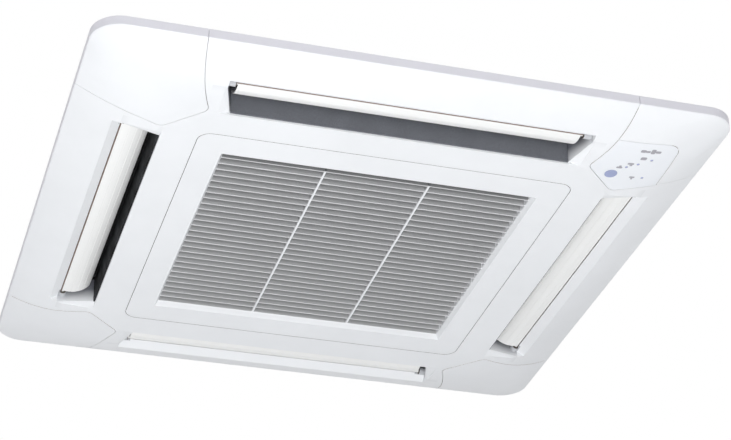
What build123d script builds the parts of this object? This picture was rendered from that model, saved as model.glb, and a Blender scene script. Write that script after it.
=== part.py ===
# Four-way ceiling cassette air conditioner: a 950 mm square fascia with intake grille, filter,
# four louvres and clip-on corner covers, hung under an 840 mm cabinet that holds the turbo fan,
# the wrap-round coil, the drain pan and the controls.
# Frame: millimetres, +Z up, origin at the centre of the ceiling plane. The fascia hangs below
# z = 0 and the cabinet stands above it. The receiver window is at the corner with +X and -Y.
from build123d import *
from math import atan2, cos, degrees, radians, sin, sqrt
import os

os.makedirs("parts", exist_ok=True)

# ---------------------------------------------------------------- fits
seat = 0.3            # gap between separate pieces that rest on each other
slip = 0.05           # radial running fit of a pin in its bush
seam = 0.8            # width of the joint lines in the visible face
past = 5.0            # how far a cutting shape reaches past what it cuts
bite = 1.0            # how far joined solids run into each other

# ---------------------------------------------------------------- fascia
panel_side = 950.0    # outside of the rim
panel_height = 45.0   # face to ceiling
rim_wall = 14.0       # upright side wall at the ceiling
rim_radius = 45.0     # plan radius of the rim corners
flat_side = 690.0     # flat middle of the face, inside the pillow curve
flat_radius = 150.0   # plan radius where the curve starts
skin = 3.0            # moulded wall
pillow_steps = 5      # sections that shape the curve

# intake opening and grille
grille_side = 574.0
grille_radius = 20.0
grille_depth = 13.0   # skirt of the grille
lip_depth = 3.0       # plate of the grille border
window_x = 480.0      # slatted window
window_y = 468.0
window_recess = 8.0   # slats lie this far behind the face
window_bevel = 5.0    # bevelled lip round the slats
slat_count = 28
slat_height = 10.0
slat_thickness = 2.5
rib_pitch = 162.0
rib_width = 3.0
well_flange = 9.0     # inward flange at the top of the intake well
well_top_gap = 5.0    # flange to ceiling plane

# hinge of the grille, far side: the pins lie behind the fascia, beyond the grille's edge, so that
# the edge drops clear of the fascia before it swings out under it
hinge_out = 28.0      # pin axis out from the edge of the grille
hinge_up = 5.0        # and above its face
hinge_pin_d = 2.5
hinge_wall = 1.6      # round the pins
hinge_x = 200.0       # arms from the middle
arm_width = 10.0
arm_room = 1.2        # arms to the edge of the well, past which they swing
arm_thickness = 2.6
arm_post = (-1.4, 3.2)    # upright part of the arms, inside and outside the pin axis
arm_leg = (0.2, 3.6)  # part that goes down to the border, outside and inside
lug_wall = 3.0
lug_play = 0.4        # between arms and lugs
pin_proud = 0.5       # pins past the lugs

# push latches, near side
latch_x = 190.0
latch_width = 20.0
latch_reach = 14.0
latch_body = (5.5, 6.0)   # body outside and inside the axis of the plunger
latch_cap = 2.0           # closed top of the body
latch_shelf = 4.0         # shelf wider than the body
striker = (8.0, 7.0)      # under the plunger, across and along
plunger_d = 6.0
plunger_travel = 3.0
plunger_out = 4.0         # plunger below the latch body
latch_bottom = -23.0

# filter
filter_half = 243.0
filter_border = 8.0
filter_bar = 3.0
filter_cells = 4
filter_height = 5.0
filter_radius = 8.0
filter_tab = (40.0, 6.0, 2.0)     # tabs to pull it by: length, width, rise
net_land = 2.0            # net on the border of the frame
net_thickness = 0.6

# air outlets
slot_inner = 341.0        # distance of the inner edge from the centre
slot_outer = 398.0
slot_inner_half = 257.0   # half length at the inner edge
slot_outer_half = 273.0
flare_width = 15.0        # flared lip outside the slot
flare_depth = 12.5        # depth of the flare at the slot edge
flare_end_half = 274.0    # half length of the flare at the inner edge
flare_end_depth = 4.5
flare_fade = 1.0          # what is left of that depth at the outer edge
liner_half = 256.0        # foam liner on the inner wall
liner_thickness = 2.5
seal_width = 6.0          # foam seal between fascia and drain pan

# louvres
pivot_out = 394.5         # pivot axis from the centre
pivot_up = 19.9           # pivot axis above the face
blade_half = 257.0
blade_outer = (396.5, 17.9)   # lower surface at rest: distance out, height above the face
blade_inner = (351.0, 33.0)
blade_sag = 7.4
blade_thickness = 2.4
hub_d = 6.0
louvre_pin_d = 4.0
bush_wall = 2.0
bush_flange = 1.0
boss_wall = 2.0
boss_length = 14.0
boss_proud = 1.5          # outside the duct wall
boss_shift = 1.0          # bearing towards the middle, clear of the flare
step_motor_d = 24.0
step_motor_length = 15.0
step_motor_offset = 2.6   # motor axis above its shaft
step_motor_ear = 16.0
motor_engage = 8.0        # louvre pin inside the motor
motor_ear_thickness = 1.5
motor_ear_width = 8.0
motor_post_d = 6.0
motor_post_proud = 1.0    # posts past the bearings
motor_screw_d = 2.4
motor_screw_depth = 2.5
motor_screw_head = 1.6
groove_r = 0.5            # fine grooves along the blade
groove_spread = 0.22      # their distance, as a share of the blade's width

# corner covers: seam points as distances from the centre lines
seam_rim = 318.0          # where the seam meets the rim
seam_mid = (307.0, 405.0)
seam_knee = (287.0, 345.0)
knee_radius = 14.0
ledge_gap = 0.6           # cover to the ledge behind it
ledge_skin = 2.5
ledge_land = 12.0         # ledge left round the access opening
clip_width = 12.0
clip_spots = (((324.0, 420.5), -9.0), ((420.5, 324.0), -81.0), ((326.0, 326.0), 45.0))
clip_top = 24.0           # tip of the clips above the face
clip_thickness = 1.8

# receiver window on the corner cover
window_edge = 411.0
window_corner = 20.0
button_at = (328.0, -332.0)
button_d = 19.0
button_proud = 0.6        # out of the window; a press brings it flush
lamp_spots = ((345.0, -352.0), (360.0, -361.0), (377.0, -373.0), (380.0, -328.0))
lamp_d = 4.2
board_up = 16.0           # board above the face
board_thickness = 1.6
board_post_d = 5.0
board_posts = ((345.0, -398.0), (396.0, -352.0))
board_areas = (
    ((336.0, 402.0), (-402.0, -346.0)),
    ((378.5, 402.0), (-346.5, -322.0)),
    ((324.0, 338.0), (-346.5, -328.0)),
)
button_stem_d = 5.0
button_cap = 2.8          # inner face of the button above the flat face
button_play = 0.4         # on the diameter
button_root = 0.5         # stem inside the cap
button_stem_out = 2.0     # stem behind the board
collar_width = 1.5        # collar on the stem, wider and thick
lamp_play = 0.3
solder = 0.2              # parts sunk into the board
chip_spots = (
    ((350.0, 362.0), (-398.0, -386.0), 5.0),
    ((372.0, 392.0), (-366.0, -354.0), 4.0),
)
eye_spot = (343.0, -380.0)        # infrared eye
eye_d = 7.0

# panel screws through the corner cups
screw_at = (322.0, 358.0)
cup_d = 26.0
cup_floor = 3.0
cup_wall = 2.0
cup_land = 6.0            # ledge left round the cup
panel_screw_d = 5.0
panel_screw_play = 0.5
panel_screw_grip = 10.0   # screw above the flange
panel_head_d = 12.0
panel_head_height = 4.0
washer_thickness = 1.2
washer_width = 2.0        # round the head

# ---------------------------------------------------------------- cabinet
body_side = 840.0
body_chamfer = 130.0      # corner cut of the octagonal cabinet
body_bottom = 4.0         # lower flange above the ceiling plane
body_top = 230.0
sheet = 1.2
flange_in = 12.0
lid_lip = 12.0
foam = 18.0               # side liner
foam_top = 20.0
pan_height = 60.0
pan_hole = 203.0          # radius of the hole round the bell mouth
duct_in = 343.0
duct_out = 396.0
duct_half = 250.0
lug_plate_r = 11.0        # corner lugs that take the panel screws
lid_screw_at = 200.0
lid_screw_z = 224.0
lid_screw_d = 4.0
lid_screw_play = 0.2
lid_screw_grip = 3.0
lid_screw_head = 2.2
lid_rings = (130.0, 260.0)        # pressed stiffening rings
lid_ring_width = 10.0
lid_ring_rise = 1.5
pipe_hole_play = 8.0      # holes in the sides, wider than pipe and drain
drain_hole_play = 2.0
liner_hole_play = 20.0    # and in the liner
liner_screw_play = 2.0    # round the ends of the lid screws
grommet_at = (-200.0, 130.0)
grommet_d = 30.0
grommet_lip = 3.0
grommet_wall = 6.0
grommet_depth = 6.0
grommet_play = 0.2
sump_r = 34.0
trough_wall = 4.0         # trough clear of the coil
trough_depth = 30.0
trough_spare = 2.0        # wider on the outside

# coil
coil_inner = 250.0
coil_depth = 40.0
coil_bottom_gap = 3.0
coil_top_gap = 2.0
coil_bend = 40.0          # inner bend radius
coil_end = 190.0          # the coil stops here before the open corner
end_plate = 1.5
end_plate_margin = (3.0, 2.0)     # past the coil, inside and outside
bend_rows = 5
bend_tube_d = 9.5
bend_turn = 10.0          # radius of the bends

# fan
fan_radius = 220.0
fan_eye = 187.0           # inner radius of the shroud eye
fan_wall = 2.5
blade_count = 7
fan_blade_inner = 135.0
fan_blade_thickness = 5.0
fan_blade_sweep = 42.0    # turn from the inner to the outer end, in degrees
fan_blade_bow = 16.0
fan_bottom = 56.0
fan_eye_top = 64.0
fan_rim_bottom = 94.0
fan_top = 190.0
fan_cup = 70.0            # radius of the cup round the motor
fan_cup_floor = 134.0
fan_boss_d = 34.0
fan_boss_drop = 14.0
shaft_d = 10.0
fan_nut_af = 17.0
fan_nut_height = 8.0
shaft_below = 3.0         # shaft below the nut
fan_shoulder = (8.0, 13.0)        # bend of the shroud: out from the eye, below the rim
fan_thin = 1.0            # shroud's outside nearer to its inside where it slopes
blade_lead = 30.0         # inner ends of the blades start above the eye
blade_spare = 8.0         # room left inside those ends
cup_draft = 3.0           # taper of the cup round the motor
cup_edge = (2.0, 4.0)     # bevel at its mouth, across and down

# bell mouth
bell_throat = 183.0
bell_flange = 216.0
bell_wall = 2.0
bell_top = 62.0
bell_curve = (16.0, 26.0)  # width and height of the rounded entry
bell_seat = 3.1           # underside of its flange
bell_screw_count = 8
bell_screw_turn = 22.5    # angle of the first
bell_screw_edge = 5.0     # from the edge of the flange
bell_screw_d = 3.6
bell_screw_grip = 0.6
bell_head_d = 7.6
bell_head_height = 2.0

# fan motor
motor_d = 130.0
motor_bottom = 144.0
motor_top = 206.0
motor_socket = 30.0
lug_radius = 80.0
lug_d = 20.0
lug_thickness = 4.0
lug_turns = (30.0, 150.0, 270.0)
bush_d = 18.0
stud_d = 6.0
bracket_r = 94.0
bracket_thickness = 2.0
motor_nose_r = 43.0       # raised nose round the shaft
motor_nose_rise = 6.0
motor_nose_draft = 2.0
motor_edge = 4.0          # bevels of the shell
motor_roof = 2.0          # shell above the lugs
bush_lip = 2.0            # lips of the bushes past the holes in the lugs
bush_cheek = 3.0          # and their thickness
stud_drop = 8.0           # studs below the lugs
stud_nut_r = 5.8
stud_nut_height = 5.0
liner_bracket_play = 2.0  # round the bracket
liner_bracket_depth = 60.0

# pipes and drain
gas_pipe_d = 15.88
liquid_pipe_d = 9.52
pipe_reach = 465.0        # ends of the stubs
pipe_across = 12.0        # pipes to either side of the coil's middle
pipe_bend = 14.0
gas_run = (42.0, 60.0, 70.0)      # from the end plate, above the coil's foot, inside the wall
liquid_run = (18.0, 80.0, 90.0)
pipe_stub = 18.0          # bare end that the lines push on to
pipe_jacket = 0.7         # thin jacket on the rest of the pipes
gas_at = (262.0, 170.0)   # x, z on the far side
liquid_at = (222.0, 170.0)
drain_d = 32.0
drain_at = (262.0, 150.0)  # y, z on the right side
pump_at = (318.0, 318.0)
pump_d = 56.0
pump_nozzle_z = 90.0
pump_nozzle = 10.0        # outside the pump
pump_foot_d = 22.0        # strainer in the sump
pump_foot_gap = 3.0
pump_ear = (32.0, 34.0, 3.0)      # past the sump, width, thickness
pump_body_height = 40.0
pump_cap_height = 74.0
pump_cap_step = 14.0      # smaller than the body
hose_d = 20.0
hose_bore = 15.0
hose_bend = 12.0
hose_end = 35.0           # inside the wall
socket_depth = 40.0       # socket inside the wall
socket_flange = (20.0, 3.0)       # wider than the drain, thickness
socket_bore = 10.0        # hose seat ends inside the wall
flare_nut_back = 0.5      # nuts behind the bare ends
flare_nut_length = 18.0
flare_nut_wall = 6.0
pipe_plate_edge = (22.0, 24.0, 25.0)  # round the pipes: left, right, up and down
pipe_plate_play = 1.0
float_at = (262.0, 262.0)
float_d = 16.0
float_rise = (8.0, 22.0)  # bottom and top above the trough
float_stem = (4.0, 5.0, 8.0)      # diameter, start above the trough, end above the pan
float_arm = (8.0, 34.0, 3.0)      # half width, length, height of its bracket

# hangers
hanger_x = 390.0
hanger_y = 355.0
hanger_z = 150.0
hanger_thickness = 3.0
hanger_width = 90.0
hanger_leg = 60.0
hanger_rise = 60.0
slot_width = 12.0
slot_length = 30.0

# control box
box_inner = 219.0
box_outer = 277.0
box_half = 120.0
box_bottom = -1.0
box_top = 29.0
box_wall = 1.2
box_screw_d = 3.0
box_screw_grip = 2.0
box_screw_head = 1.6
box_lip = 11.0            # folded lips that take the cover screws
box_lip_in = 0.5
box_screws = ((235.0, -114.0), (261.0, -114.0), (235.0, 114.0), (261.0, 114.0))
main_board_span = (-100.0, 60.0)
main_board_edge = 4.0     # inside the box
main_board_hang = 4.0     # below its roof
main_post_d = 5.0
main_post_edge = (8.0, 6.0)       # from the side of the box, from the end of the board
capacitor_drop = 18.0     # parts below the board
capacitors = ((236.0, -70.0, 16.0), (256.0, -70.0, 16.0), (236.0, -50.0, 10.0), (262.0, -10.0, 8.0))
relay_drop = 16.0
relay_size = (15.0, 19.0)
relays = ((228.0, -30.0), (228.0, 0.0), (228.0, 30.0))
chip_drop = 12.0
chip_area = ((250.0, 268.0), (10.0, 50.0))
terminal_edge = 8.0       # inside the box
terminal_span = (68.0, 104.0)
terminal_height = 14.0
terminal_pitch = 8.0
terminal_start = 74.0     # first row of screws
terminal_rows = 4
terminal_apart = 11.0     # screws from the middle line
terminal_screw_d = 5.0
terminal_web = 0.8        # half of a wall between rows
terminal_web_drop = 3.0   # walls below the block

# ---------------------------------------------------------------- worked-out values
face_z = -panel_height
rim_half = panel_side / 2
flat_half = flat_side / 2
pillow_run = rim_half - flat_half
pillow_rise = panel_height - rim_wall
pillow_turn = 2 * atan2(pillow_rise, pillow_run)
pillow_radius = pillow_run / sin(pillow_turn)
grille_half = grille_side / 2
well_half = grille_half + seam
body_half = body_side / 2
SIDES = ("near", "right", "far", "left")
CORNERS = ((1, -1), (1, 1), (-1, 1), (-1, -1))
big = 1000.0


def outward(side):
    """Unit vector out of one side of the unit."""
    turn = radians(SIDES.index(side) * 90 - 90)
    return Vector(round(cos(turn)), round(sin(turn)), 0)


def plan_plane(side, z):
    """Level plane whose x axis points out of one side."""
    return Plane(origin=(0, 0, z), x_dir=outward(side), z_dir=(0, 0, 1))


def section_plane(side, along=0.0):
    """Upright plane across one side: x is the distance out, y is the height."""
    normal = outward(side).cross(Vector(0, 0, 1))
    return Plane(origin=normal * along, x_dir=outward(side), z_dir=normal)


def face_height(out):
    """Height of the curved face above its flat middle, at a distance from the centre."""
    past = max(0.0, out - flat_half)
    return pillow_radius - sqrt(pillow_radius**2 - past**2)


def save(part, name):
    part.label = name
    export_step(part, f"parts/{name}.step")


# ---------------------------------------------------------------- fascia
def panel_form(inset):
    """Solid pillow of the fascia, pulled in by a wall thickness."""
    arc = pillow_radius - inset
    with BuildPart(mode=Mode.PRIVATE) as form:
        for step in range(pillow_steps + 1):
            share = step / pillow_steps
            turn = pillow_turn * share
            half = flat_half + arc * sin(turn)
            height = face_z + inset + arc * (1 - cos(turn))
            if step == pillow_steps:
                half = rim_half - inset
            radius = flat_radius + (rim_radius - flat_radius) * share - inset
            with BuildSketch(Plane.XY.offset(height)):
                RectangleRounded(2 * half, 2 * half, radius)
        loft()
        rim = form.faces().sort_by(Axis.Z)[-1]
        extrude(to_extrude=rim, amount=-rim.center().Z, dir=(0, 0, 1))
    return form.part


def slot_outline(grow, inner_grow=None):
    """Trapezoid of one outlet in plan, grown by a wall."""
    inner = slot_inner - (grow if inner_grow is None else inner_grow)
    slant = (slot_outer_half - slot_inner_half) / (slot_outer - slot_inner)
    outer = slot_outer + grow
    extra = grow * sqrt(1 + slant**2)
    a = slot_inner_half + (inner - slot_inner) * slant + extra
    b = slot_inner_half + (outer - slot_inner) * slant + extra
    with BuildSketch(mode=Mode.PRIVATE) as outline:
        Polygon((inner, -a), (outer, -b), (outer, b), (inner, a), align=None)
    return outline.sketch


def flare_solid(side, lift):
    """Space of the flared lip outside one outlet, raised by a wall when it backs the lip."""
    flat = face_height(slot_outer + flare_width)
    deep = face_height(slot_outer) + flare_depth
    slope = (deep - flat) / flare_width
    reach = slot_outer + flare_width + (6 * skin if lift else 2 * skin)
    low = -skin
    with BuildPart(mode=Mode.PRIVATE) as flare:
        with BuildSketch(section_plane(side)):
            with BuildLine():
                Polyline(
                    (slot_outer - skin, low + face_z),
                    (reach, low + face_z),
                    (reach, face_z + deep + lift - slope * (reach - slot_outer)),
                    (slot_outer - skin, face_z + deep + lift + slope * skin),
                    close=True,
                )
            make_face()
        extrude(amount=slot_outer_half + lift, both=True)
    return flare.part


def flare_end(side, way, lift):
    """Space of the flare beyond one end of an outlet: widest at the inner edge."""
    with BuildPart(mode=Mode.PRIVATE) as flare:
        for out, start, stop, deep in (
            (slot_inner, slot_inner_half, flare_end_half, flare_end_depth),
            (slot_outer, slot_outer_half, slot_outer_half + skin, face_height(slot_outer) + flare_fade),
        ):
            plane = Plane(
                origin=outward(side) * out,
                x_dir=outward(side).cross(Vector(0, 0, 1)) * way,
                z_dir=outward(side) * -way,
            )
            top = face_z + deep + lift
            edge = face_z + face_height(out) + lift
            with BuildSketch(plane):
                Polygon(
                    (start - skin, face_z - skin),
                    (stop + lift, face_z - skin),
                    (stop + lift, edge),
                    (start, top),
                    (start - skin, top),
                    align=None,
                )
        loft(ruled=True)
    return flare.part


def corner_outline(grow):
    """Plan of a corner cover in the quadrant of positive x and y, grown by a wall."""
    far = rim_half + 4 * past
    with BuildSketch(mode=Mode.PRIVATE) as outline:
        with BuildLine():
            a = ThreePointArc((seam_rim, rim_half), seam_mid, seam_knee)
            b = ThreePointArc(seam_knee[::-1], seam_mid[::-1], (rim_half, seam_rim))
            Line(a @ 1, b @ 0)
            Line(b @ 1, (far, seam_rim))
            Line((far, seam_rim), (far, far))
            Line((far, far), (seam_rim, far))
            Line((seam_rim, far), a @ 0)
        make_face()
        knees = outline.vertices().sort_by(Axis((0, 0, 0), (1, 1, 0)))[:2]
        fillet(knees, knee_radius)
        if grow:
            offset(amount=grow)
    return outline.sketch


outer_form = panel_form(0)
inner_form = panel_form(skin)
ledge_form = panel_form(skin + ledge_gap)
ledge_inner = panel_form(skin + ledge_gap + ledge_skin)
ledge_room = skin + ledge_gap + ledge_skin


def corner_block(grow):
    """Upright block over all four corner covers."""
    with BuildPart(mode=Mode.PRIVATE) as block:
        for side in SIDES:
            with BuildSketch(plan_plane(side, face_z - 2 * past)):
                add(corner_outline(grow))
            extrude(amount=panel_height + 4 * past)
    return block.part


corner_cut = corner_block(seam / 2)
corner_wall = corner_block(seam / 2 + ledge_skin)
pivot_z = face_z + pivot_up
motor_z = pivot_z + step_motor_offset


def slot_end(out):
    """Half length of an outlet at a distance from the centre."""
    slant = (slot_outer_half - slot_inner_half) / (slot_outer - slot_inner)
    return slot_inner_half + (out - slot_inner) * slant


boss_in = slot_end(pivot_out) - boss_length + skin
boss_out = slot_end(pivot_out) + skin + boss_proud
bush_out_d = louvre_pin_d + 2 * slip + 2 * bush_wall
hinge_y = grille_half + hinge_out
hinge_z = face_z + hinge_up
hinge_r = hinge_pin_d / 2 + hinge_wall
hinge_lugs = [
    sign * hinge_x + offset
    for sign in (-1, 1)
    for offset in (-arm_width / 2 - lug_play - lug_wall, arm_width / 2 + lug_play)
]
motor_posts = ((pivot_out - step_motor_ear, motor_z), (pivot_out, motor_z + step_motor_ear))


def well_block(z, height, half):
    """Rounded square block of the intake well."""
    with BuildPart(mode=Mode.PRIVATE) as block:
        with BuildSketch(Plane.XY.offset(z)):
            RectangleRounded(2 * half, 2 * half, grille_radius + half - grille_half)
        extrude(amount=height)
    return block.part


def slab(x, y, z):
    """Box given by its two limits in each direction."""
    with BuildPart(mode=Mode.PRIVATE) as block:
        with Locations((x[0], y[0], z[0])):
            Box(x[1] - x[0], y[1] - y[0], z[1] - z[0], align=(Align.MIN, Align.MIN, Align.MIN))
    return block.part


def access_outline():
    """Opening in the ledge behind a corner cover, short of the rim and of the screw cup."""
    far = rim_half - rim_radius
    with BuildSketch(mode=Mode.PRIVATE) as outline:
        add(corner_outline(-ledge_land))
        Rectangle(far, far, align=(Align.MIN, Align.MIN), mode=Mode.INTERSECT)
        with Locations(screw_at):
            Circle(cup_d / 2 + cup_land, mode=Mode.SUBTRACT)
    return outline.sketch


def fascia_walls():
    """What stands up inside the pillow: duct walls, backs of the flares, well walls."""
    with BuildPart(mode=Mode.PRIVATE) as walls:
        for side in SIDES:
            add(flare_solid(side, skin))
            for way in (-1, 1):
                add(flare_end(side, way, skin))
            with BuildSketch(plan_plane(side, face_z - past)):
                add(slot_outline(skin))
            extrude(amount=panel_height + 2 * past)
        add(well_block(face_z - past, panel_height + past - well_top_gap, well_half + skin))
    return walls.part


def fascia_bosses():
    """Screw cups, louvre bearings and motor posts behind the face."""
    top = body_bottom - seat / 2
    half_way = face_z + panel_height / 2
    with BuildPart(mode=Mode.PRIVATE) as bosses:
        for side in SIDES:
            with BuildSketch(plan_plane(side, half_way)):
                with Locations(screw_at):
                    Circle(cup_d / 2)
            extrude(amount=-panel_height)
        # the cups start inside the ledge
        add(panel_form(ledge_room - ledge_skin / 2), mode=Mode.INTERSECT)
        for side in SIDES:
            with BuildSketch(plan_plane(side, top)):
                with Locations(screw_at):
                    Circle(cup_d / 2)
            extrude(amount=half_way - top - bite)
            for way in (-1, 1):
                with BuildSketch(section_plane(side, way * boss_in)):
                    with Locations((pivot_out - boss_shift, pivot_z)):
                        Circle(bush_out_d / 2 + boss_wall)
                extrude(amount=way * (boss_out - boss_in))
            for out, z in motor_posts:
                with BuildSketch(section_plane(side, slot_end(out) + bite)):
                    with Locations((out, z)):
                        Circle(motor_post_d / 2)
                extrude(amount=boss_out + motor_post_proud - slot_end(out) - bite)
        for x in hinge_lugs:
            with BuildSketch(Plane.YZ.offset(x)):
                with Locations((hinge_y, hinge_z)):
                    Circle(hinge_r)
                    Rectangle(2 * hinge_r, hinge_up - skin / 2, align=(Align.CENTER, Align.MAX))
            extrude(amount=lug_wall)
        for x in (-latch_x, latch_x):
            with Locations((x, -well_half - skin / 2, -well_top_gap - skin)):
                shelf = latch_width + latch_shelf
                Box(shelf, latch_reach, skin, align=(Align.CENTER, Align.MIN, Align.MIN))
    return bosses.part


def fascia_cuts():
    """Everything that goes through the fascia: well, outlets, flares and bores."""
    with BuildPart(mode=Mode.PRIVATE) as cuts:
        add(well_block(face_z - past, panel_height + past - well_top_gap - skin, well_half))
        add(well_block(face_z - past, panel_height + 2 * past, well_half - well_flange))
        # slots in the well wall for the hinge arms, and pockets under their pins
        for way in (-1, 1):
            across = (way * hinge_x - arm_width / 2 - lug_play, way * hinge_x + arm_width / 2 + lug_play)
            wall = (well_half - bite, well_half + skin + bite)
            add(slab(across, wall, (face_z + skin, -well_top_gap - skin)))
            pocket = (hinge_y - hinge_r - lug_play, hinge_y + hinge_r + lug_play)
            add(slab(across, pocket, (hinge_z - hinge_r - lug_play, hinge_z)))
        for side in SIDES:
            with BuildSketch(plan_plane(side, face_z - past)):
                add(slot_outline(0))
            extrude(amount=panel_height + 2 * past)
            add(flare_solid(side, 0))
            for way in (-1, 1):
                add(flare_end(side, way, 0))
            with BuildSketch(plan_plane(side, face_z - past)):
                add(access_outline())
            extrude(amount=panel_height - rim_wall + past)
    return cuts.part


def make_fascia():
    with BuildPart() as fascia:
        add(outer_form)
        room = inner_form - [fascia_walls(), corner_wall - ledge_inner]
        add(room, mode=Mode.SUBTRACT)
        add([corner_cut - ledge_form, fascia_cuts()], mode=Mode.SUBTRACT)
        add(fascia_bosses())
        for side in SIDES:
            with BuildSketch(plan_plane(side, body_bottom - seat / 2 - cup_floor)):
                with Locations(screw_at):
                    Circle(cup_d / 2 - cup_wall)
            extrude(amount=-panel_height, mode=Mode.SUBTRACT)
            with BuildSketch(plan_plane(side, 0)):
                with Locations(screw_at):
                    Circle(panel_screw_d / 2 + panel_screw_play)
            extrude(amount=body_bottom, mode=Mode.SUBTRACT)
        for side in ("near", "right"):
            with BuildSketch(section_plane(side)):
                with Locations((pivot_out, pivot_z), (-pivot_out, pivot_z)):
                    Circle(bush_out_d / 2 + slip)
            extrude(amount=slot_outer_half + 4 * past, both=True, mode=Mode.SUBTRACT)
        # pilot holes in the motor posts
        for side in SIDES:
            with BuildSketch(section_plane(side, boss_out + motor_post_proud)):
                with Locations(motor_posts):
                    Circle(motor_screw_d / 2 + slip)
            extrude(amount=-motor_screw_depth, mode=Mode.SUBTRACT)
        # bores of the grille hinge
        with BuildSketch(Plane.YZ):
            with Locations((hinge_y, hinge_z)):
                Circle(hinge_pin_d / 2 + slip)
        extrude(amount=hinge_x + 2 * arm_width, both=True, mode=Mode.SUBTRACT)
    return fascia.part


fascia = make_fascia()
save(fascia, "fascia")

# grey foam liners on the inner walls of the outlets
with BuildPart() as outlet_liners:
    for side in SIDES:
        with BuildSketch(plan_plane(side, face_z + skin)):
            with Locations((slot_inner + seat / 2, 0)):
                Rectangle(liner_thickness, 2 * liner_half, align=(Align.MIN, Align.CENTER))
        extrude(amount=panel_height - skin)
save(outlet_liners.part, "outlet_liners")

# foam seals between the duct walls and the drain pan
with BuildPart() as outlet_seals:
    for side in SIDES:
        with BuildSketch(plan_plane(side, seat / 3)):
            add(slot_outline(seal_width))
            add(slot_outline(0), mode=Mode.SUBTRACT)
        extrude(amount=body_bottom + sheet - seat)
save(outlet_seals.part, "outlet_seals")


# ---------------------------------------------------------------- louvres
def blade_outline():
    """Curved section of a louvre at rest."""
    outer = Vector(blade_outer[0], face_z + blade_outer[1])
    inner = Vector(blade_inner[0], face_z + blade_inner[1])
    chord = inner - outer
    radius = (chord.length**2 / 4 + blade_sag**2) / (2 * blade_sag)
    below = Vector(-chord.Y, chord.X).normalized()
    middle = (outer + inner) / 2 + below * blade_sag
    centre = middle - below * radius
    shrink = (radius - blade_thickness) / radius
    back = [centre + (point - centre) * shrink for point in (outer, middle, inner)]
    with BuildSketch(mode=Mode.PRIVATE) as outline:
        with BuildLine():
            ThreePointArc(outer, middle, inner)
            Line(inner, back[2])
            ThreePointArc(back[2], back[1], back[0])
            Line(back[0], outer)
        make_face()
        for share in (-groove_spread, 0.0, groove_spread):
            turn = share * chord.length / radius
            spot = centre + (middle - centre).rotate(Axis.Z, degrees(turn))
            with Locations(spot):
                Circle(groove_r, mode=Mode.SUBTRACT)
    return outline.sketch


pivot = (pivot_out, pivot_z)
hub_reach = boss_in - bush_flange - seat
motor_face = boss_out + motor_post_proud + slip


def side_rod(side, spot, diameter, start, end):
    """Round bar along one side: the spot is distance out and height."""
    with BuildPart(mode=Mode.PRIVATE) as rod:
        with BuildSketch(section_plane(side, start)):
            with Locations(spot):
                Circle(diameter / 2)
        extrude(amount=end - start)
    return rod.part


def upright(spot, diameter, bottom, top):
    """Upright round bar."""
    with BuildPart(mode=Mode.PRIVATE) as rod:
        with BuildSketch(Plane.XY.offset(bottom)):
            with Locations(spot):
                Circle(diameter / 2)
        extrude(amount=top - bottom)
    return rod.part


def out_rod(side, spot, diameter, start, end):
    """Round bar pointing out of one side: the spot is the place along the side and the height."""
    plane = Plane(origin=outward(side) * start, x_dir=(1, 0, 0) if side in ("near", "far") else (0, 1, 0),
                  z_dir=outward(side))
    flip = 1 if side in ("near", "right") else -1
    with BuildPart(mode=Mode.PRIVATE) as rod:
        with BuildSketch(plane):
            with Locations((spot[0], flip * spot[1])):
                Circle(diameter / 2)
        extrude(amount=end - start)
    return rod.part


louvre_profile = blade_outline()
for side in SIDES:
    with BuildPart() as louvre:
        with BuildSketch(section_plane(side)):
            add(louvre_profile)
        extrude(amount=blade_half, both=True)
        add(side_rod(side, pivot, hub_d, -hub_reach, hub_reach))
        add(side_rod(side, pivot, louvre_pin_d, -boss_out, boss_out + motor_engage))
    save(louvre.part, f"louvre_{side}")

# nylon bushes pressed into the bearings at both ends of each louvre
with BuildPart() as louvre_bushes:
    for side in SIDES:
        for way in (-1, 1):
            add(side_rod(side, pivot, bush_out_d, way * boss_in, way * boss_out))
            # flange, flat where it meets the wall of the outlet
            with BuildSketch(section_plane(side, way * (boss_in - slip))):
                with Locations(pivot):
                    Circle(bush_out_d / 2 + boss_wall)
                with Locations((slot_outer - seat / 2, pivot_z)):
                    Rectangle(big, big, align=(Align.MIN, Align.CENTER), mode=Mode.SUBTRACT)
            extrude(amount=-way * (bush_flange - slip))
            # the flange and the bush are one piece
            with BuildSketch(section_plane(side, way * (boss_in - bite / 2))):
                with Locations(pivot):
                    Circle(slot_outer - pivot_out - seat / 2)
            extrude(amount=way * bite)
    for side in ("near", "right"):
        for spot in (pivot, (-pivot[0], pivot[1])):
            bore = side_rod(side, spot, louvre_pin_d + 2 * slip, -big / 2, big / 2)
            add(bore, mode=Mode.SUBTRACT)
save(louvre_bushes.part, "louvre_bushes")

# geared stepping motors that turn the louvres
with BuildPart() as louvre_motors:
    for side in SIDES:
        add(side_rod(side, (pivot_out, motor_z), step_motor_d, motor_face, motor_face + step_motor_length))
        with BuildSketch(section_plane(side, motor_face)):
            with Locations(motor_posts):
                Circle(motor_ear_width / 2)
            with Locations((pivot_out - step_motor_ear / 2, motor_z)):
                Rectangle(step_motor_ear, motor_ear_width)
            with Locations((pivot_out, motor_z + step_motor_ear / 2)):
                Rectangle(motor_ear_width, step_motor_ear)
            with Locations(motor_posts):
                Circle(motor_screw_d / 2 + slip, mode=Mode.SUBTRACT)
        extrude(amount=motor_ear_thickness)
        bore = louvre_pin_d + 2 * slip
        socket = side_rod(side, pivot, bore, motor_face - bite, motor_face + motor_engage + bite)
        add(socket, mode=Mode.SUBTRACT)
save(louvre_motors.part, "louvre_motors")

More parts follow.
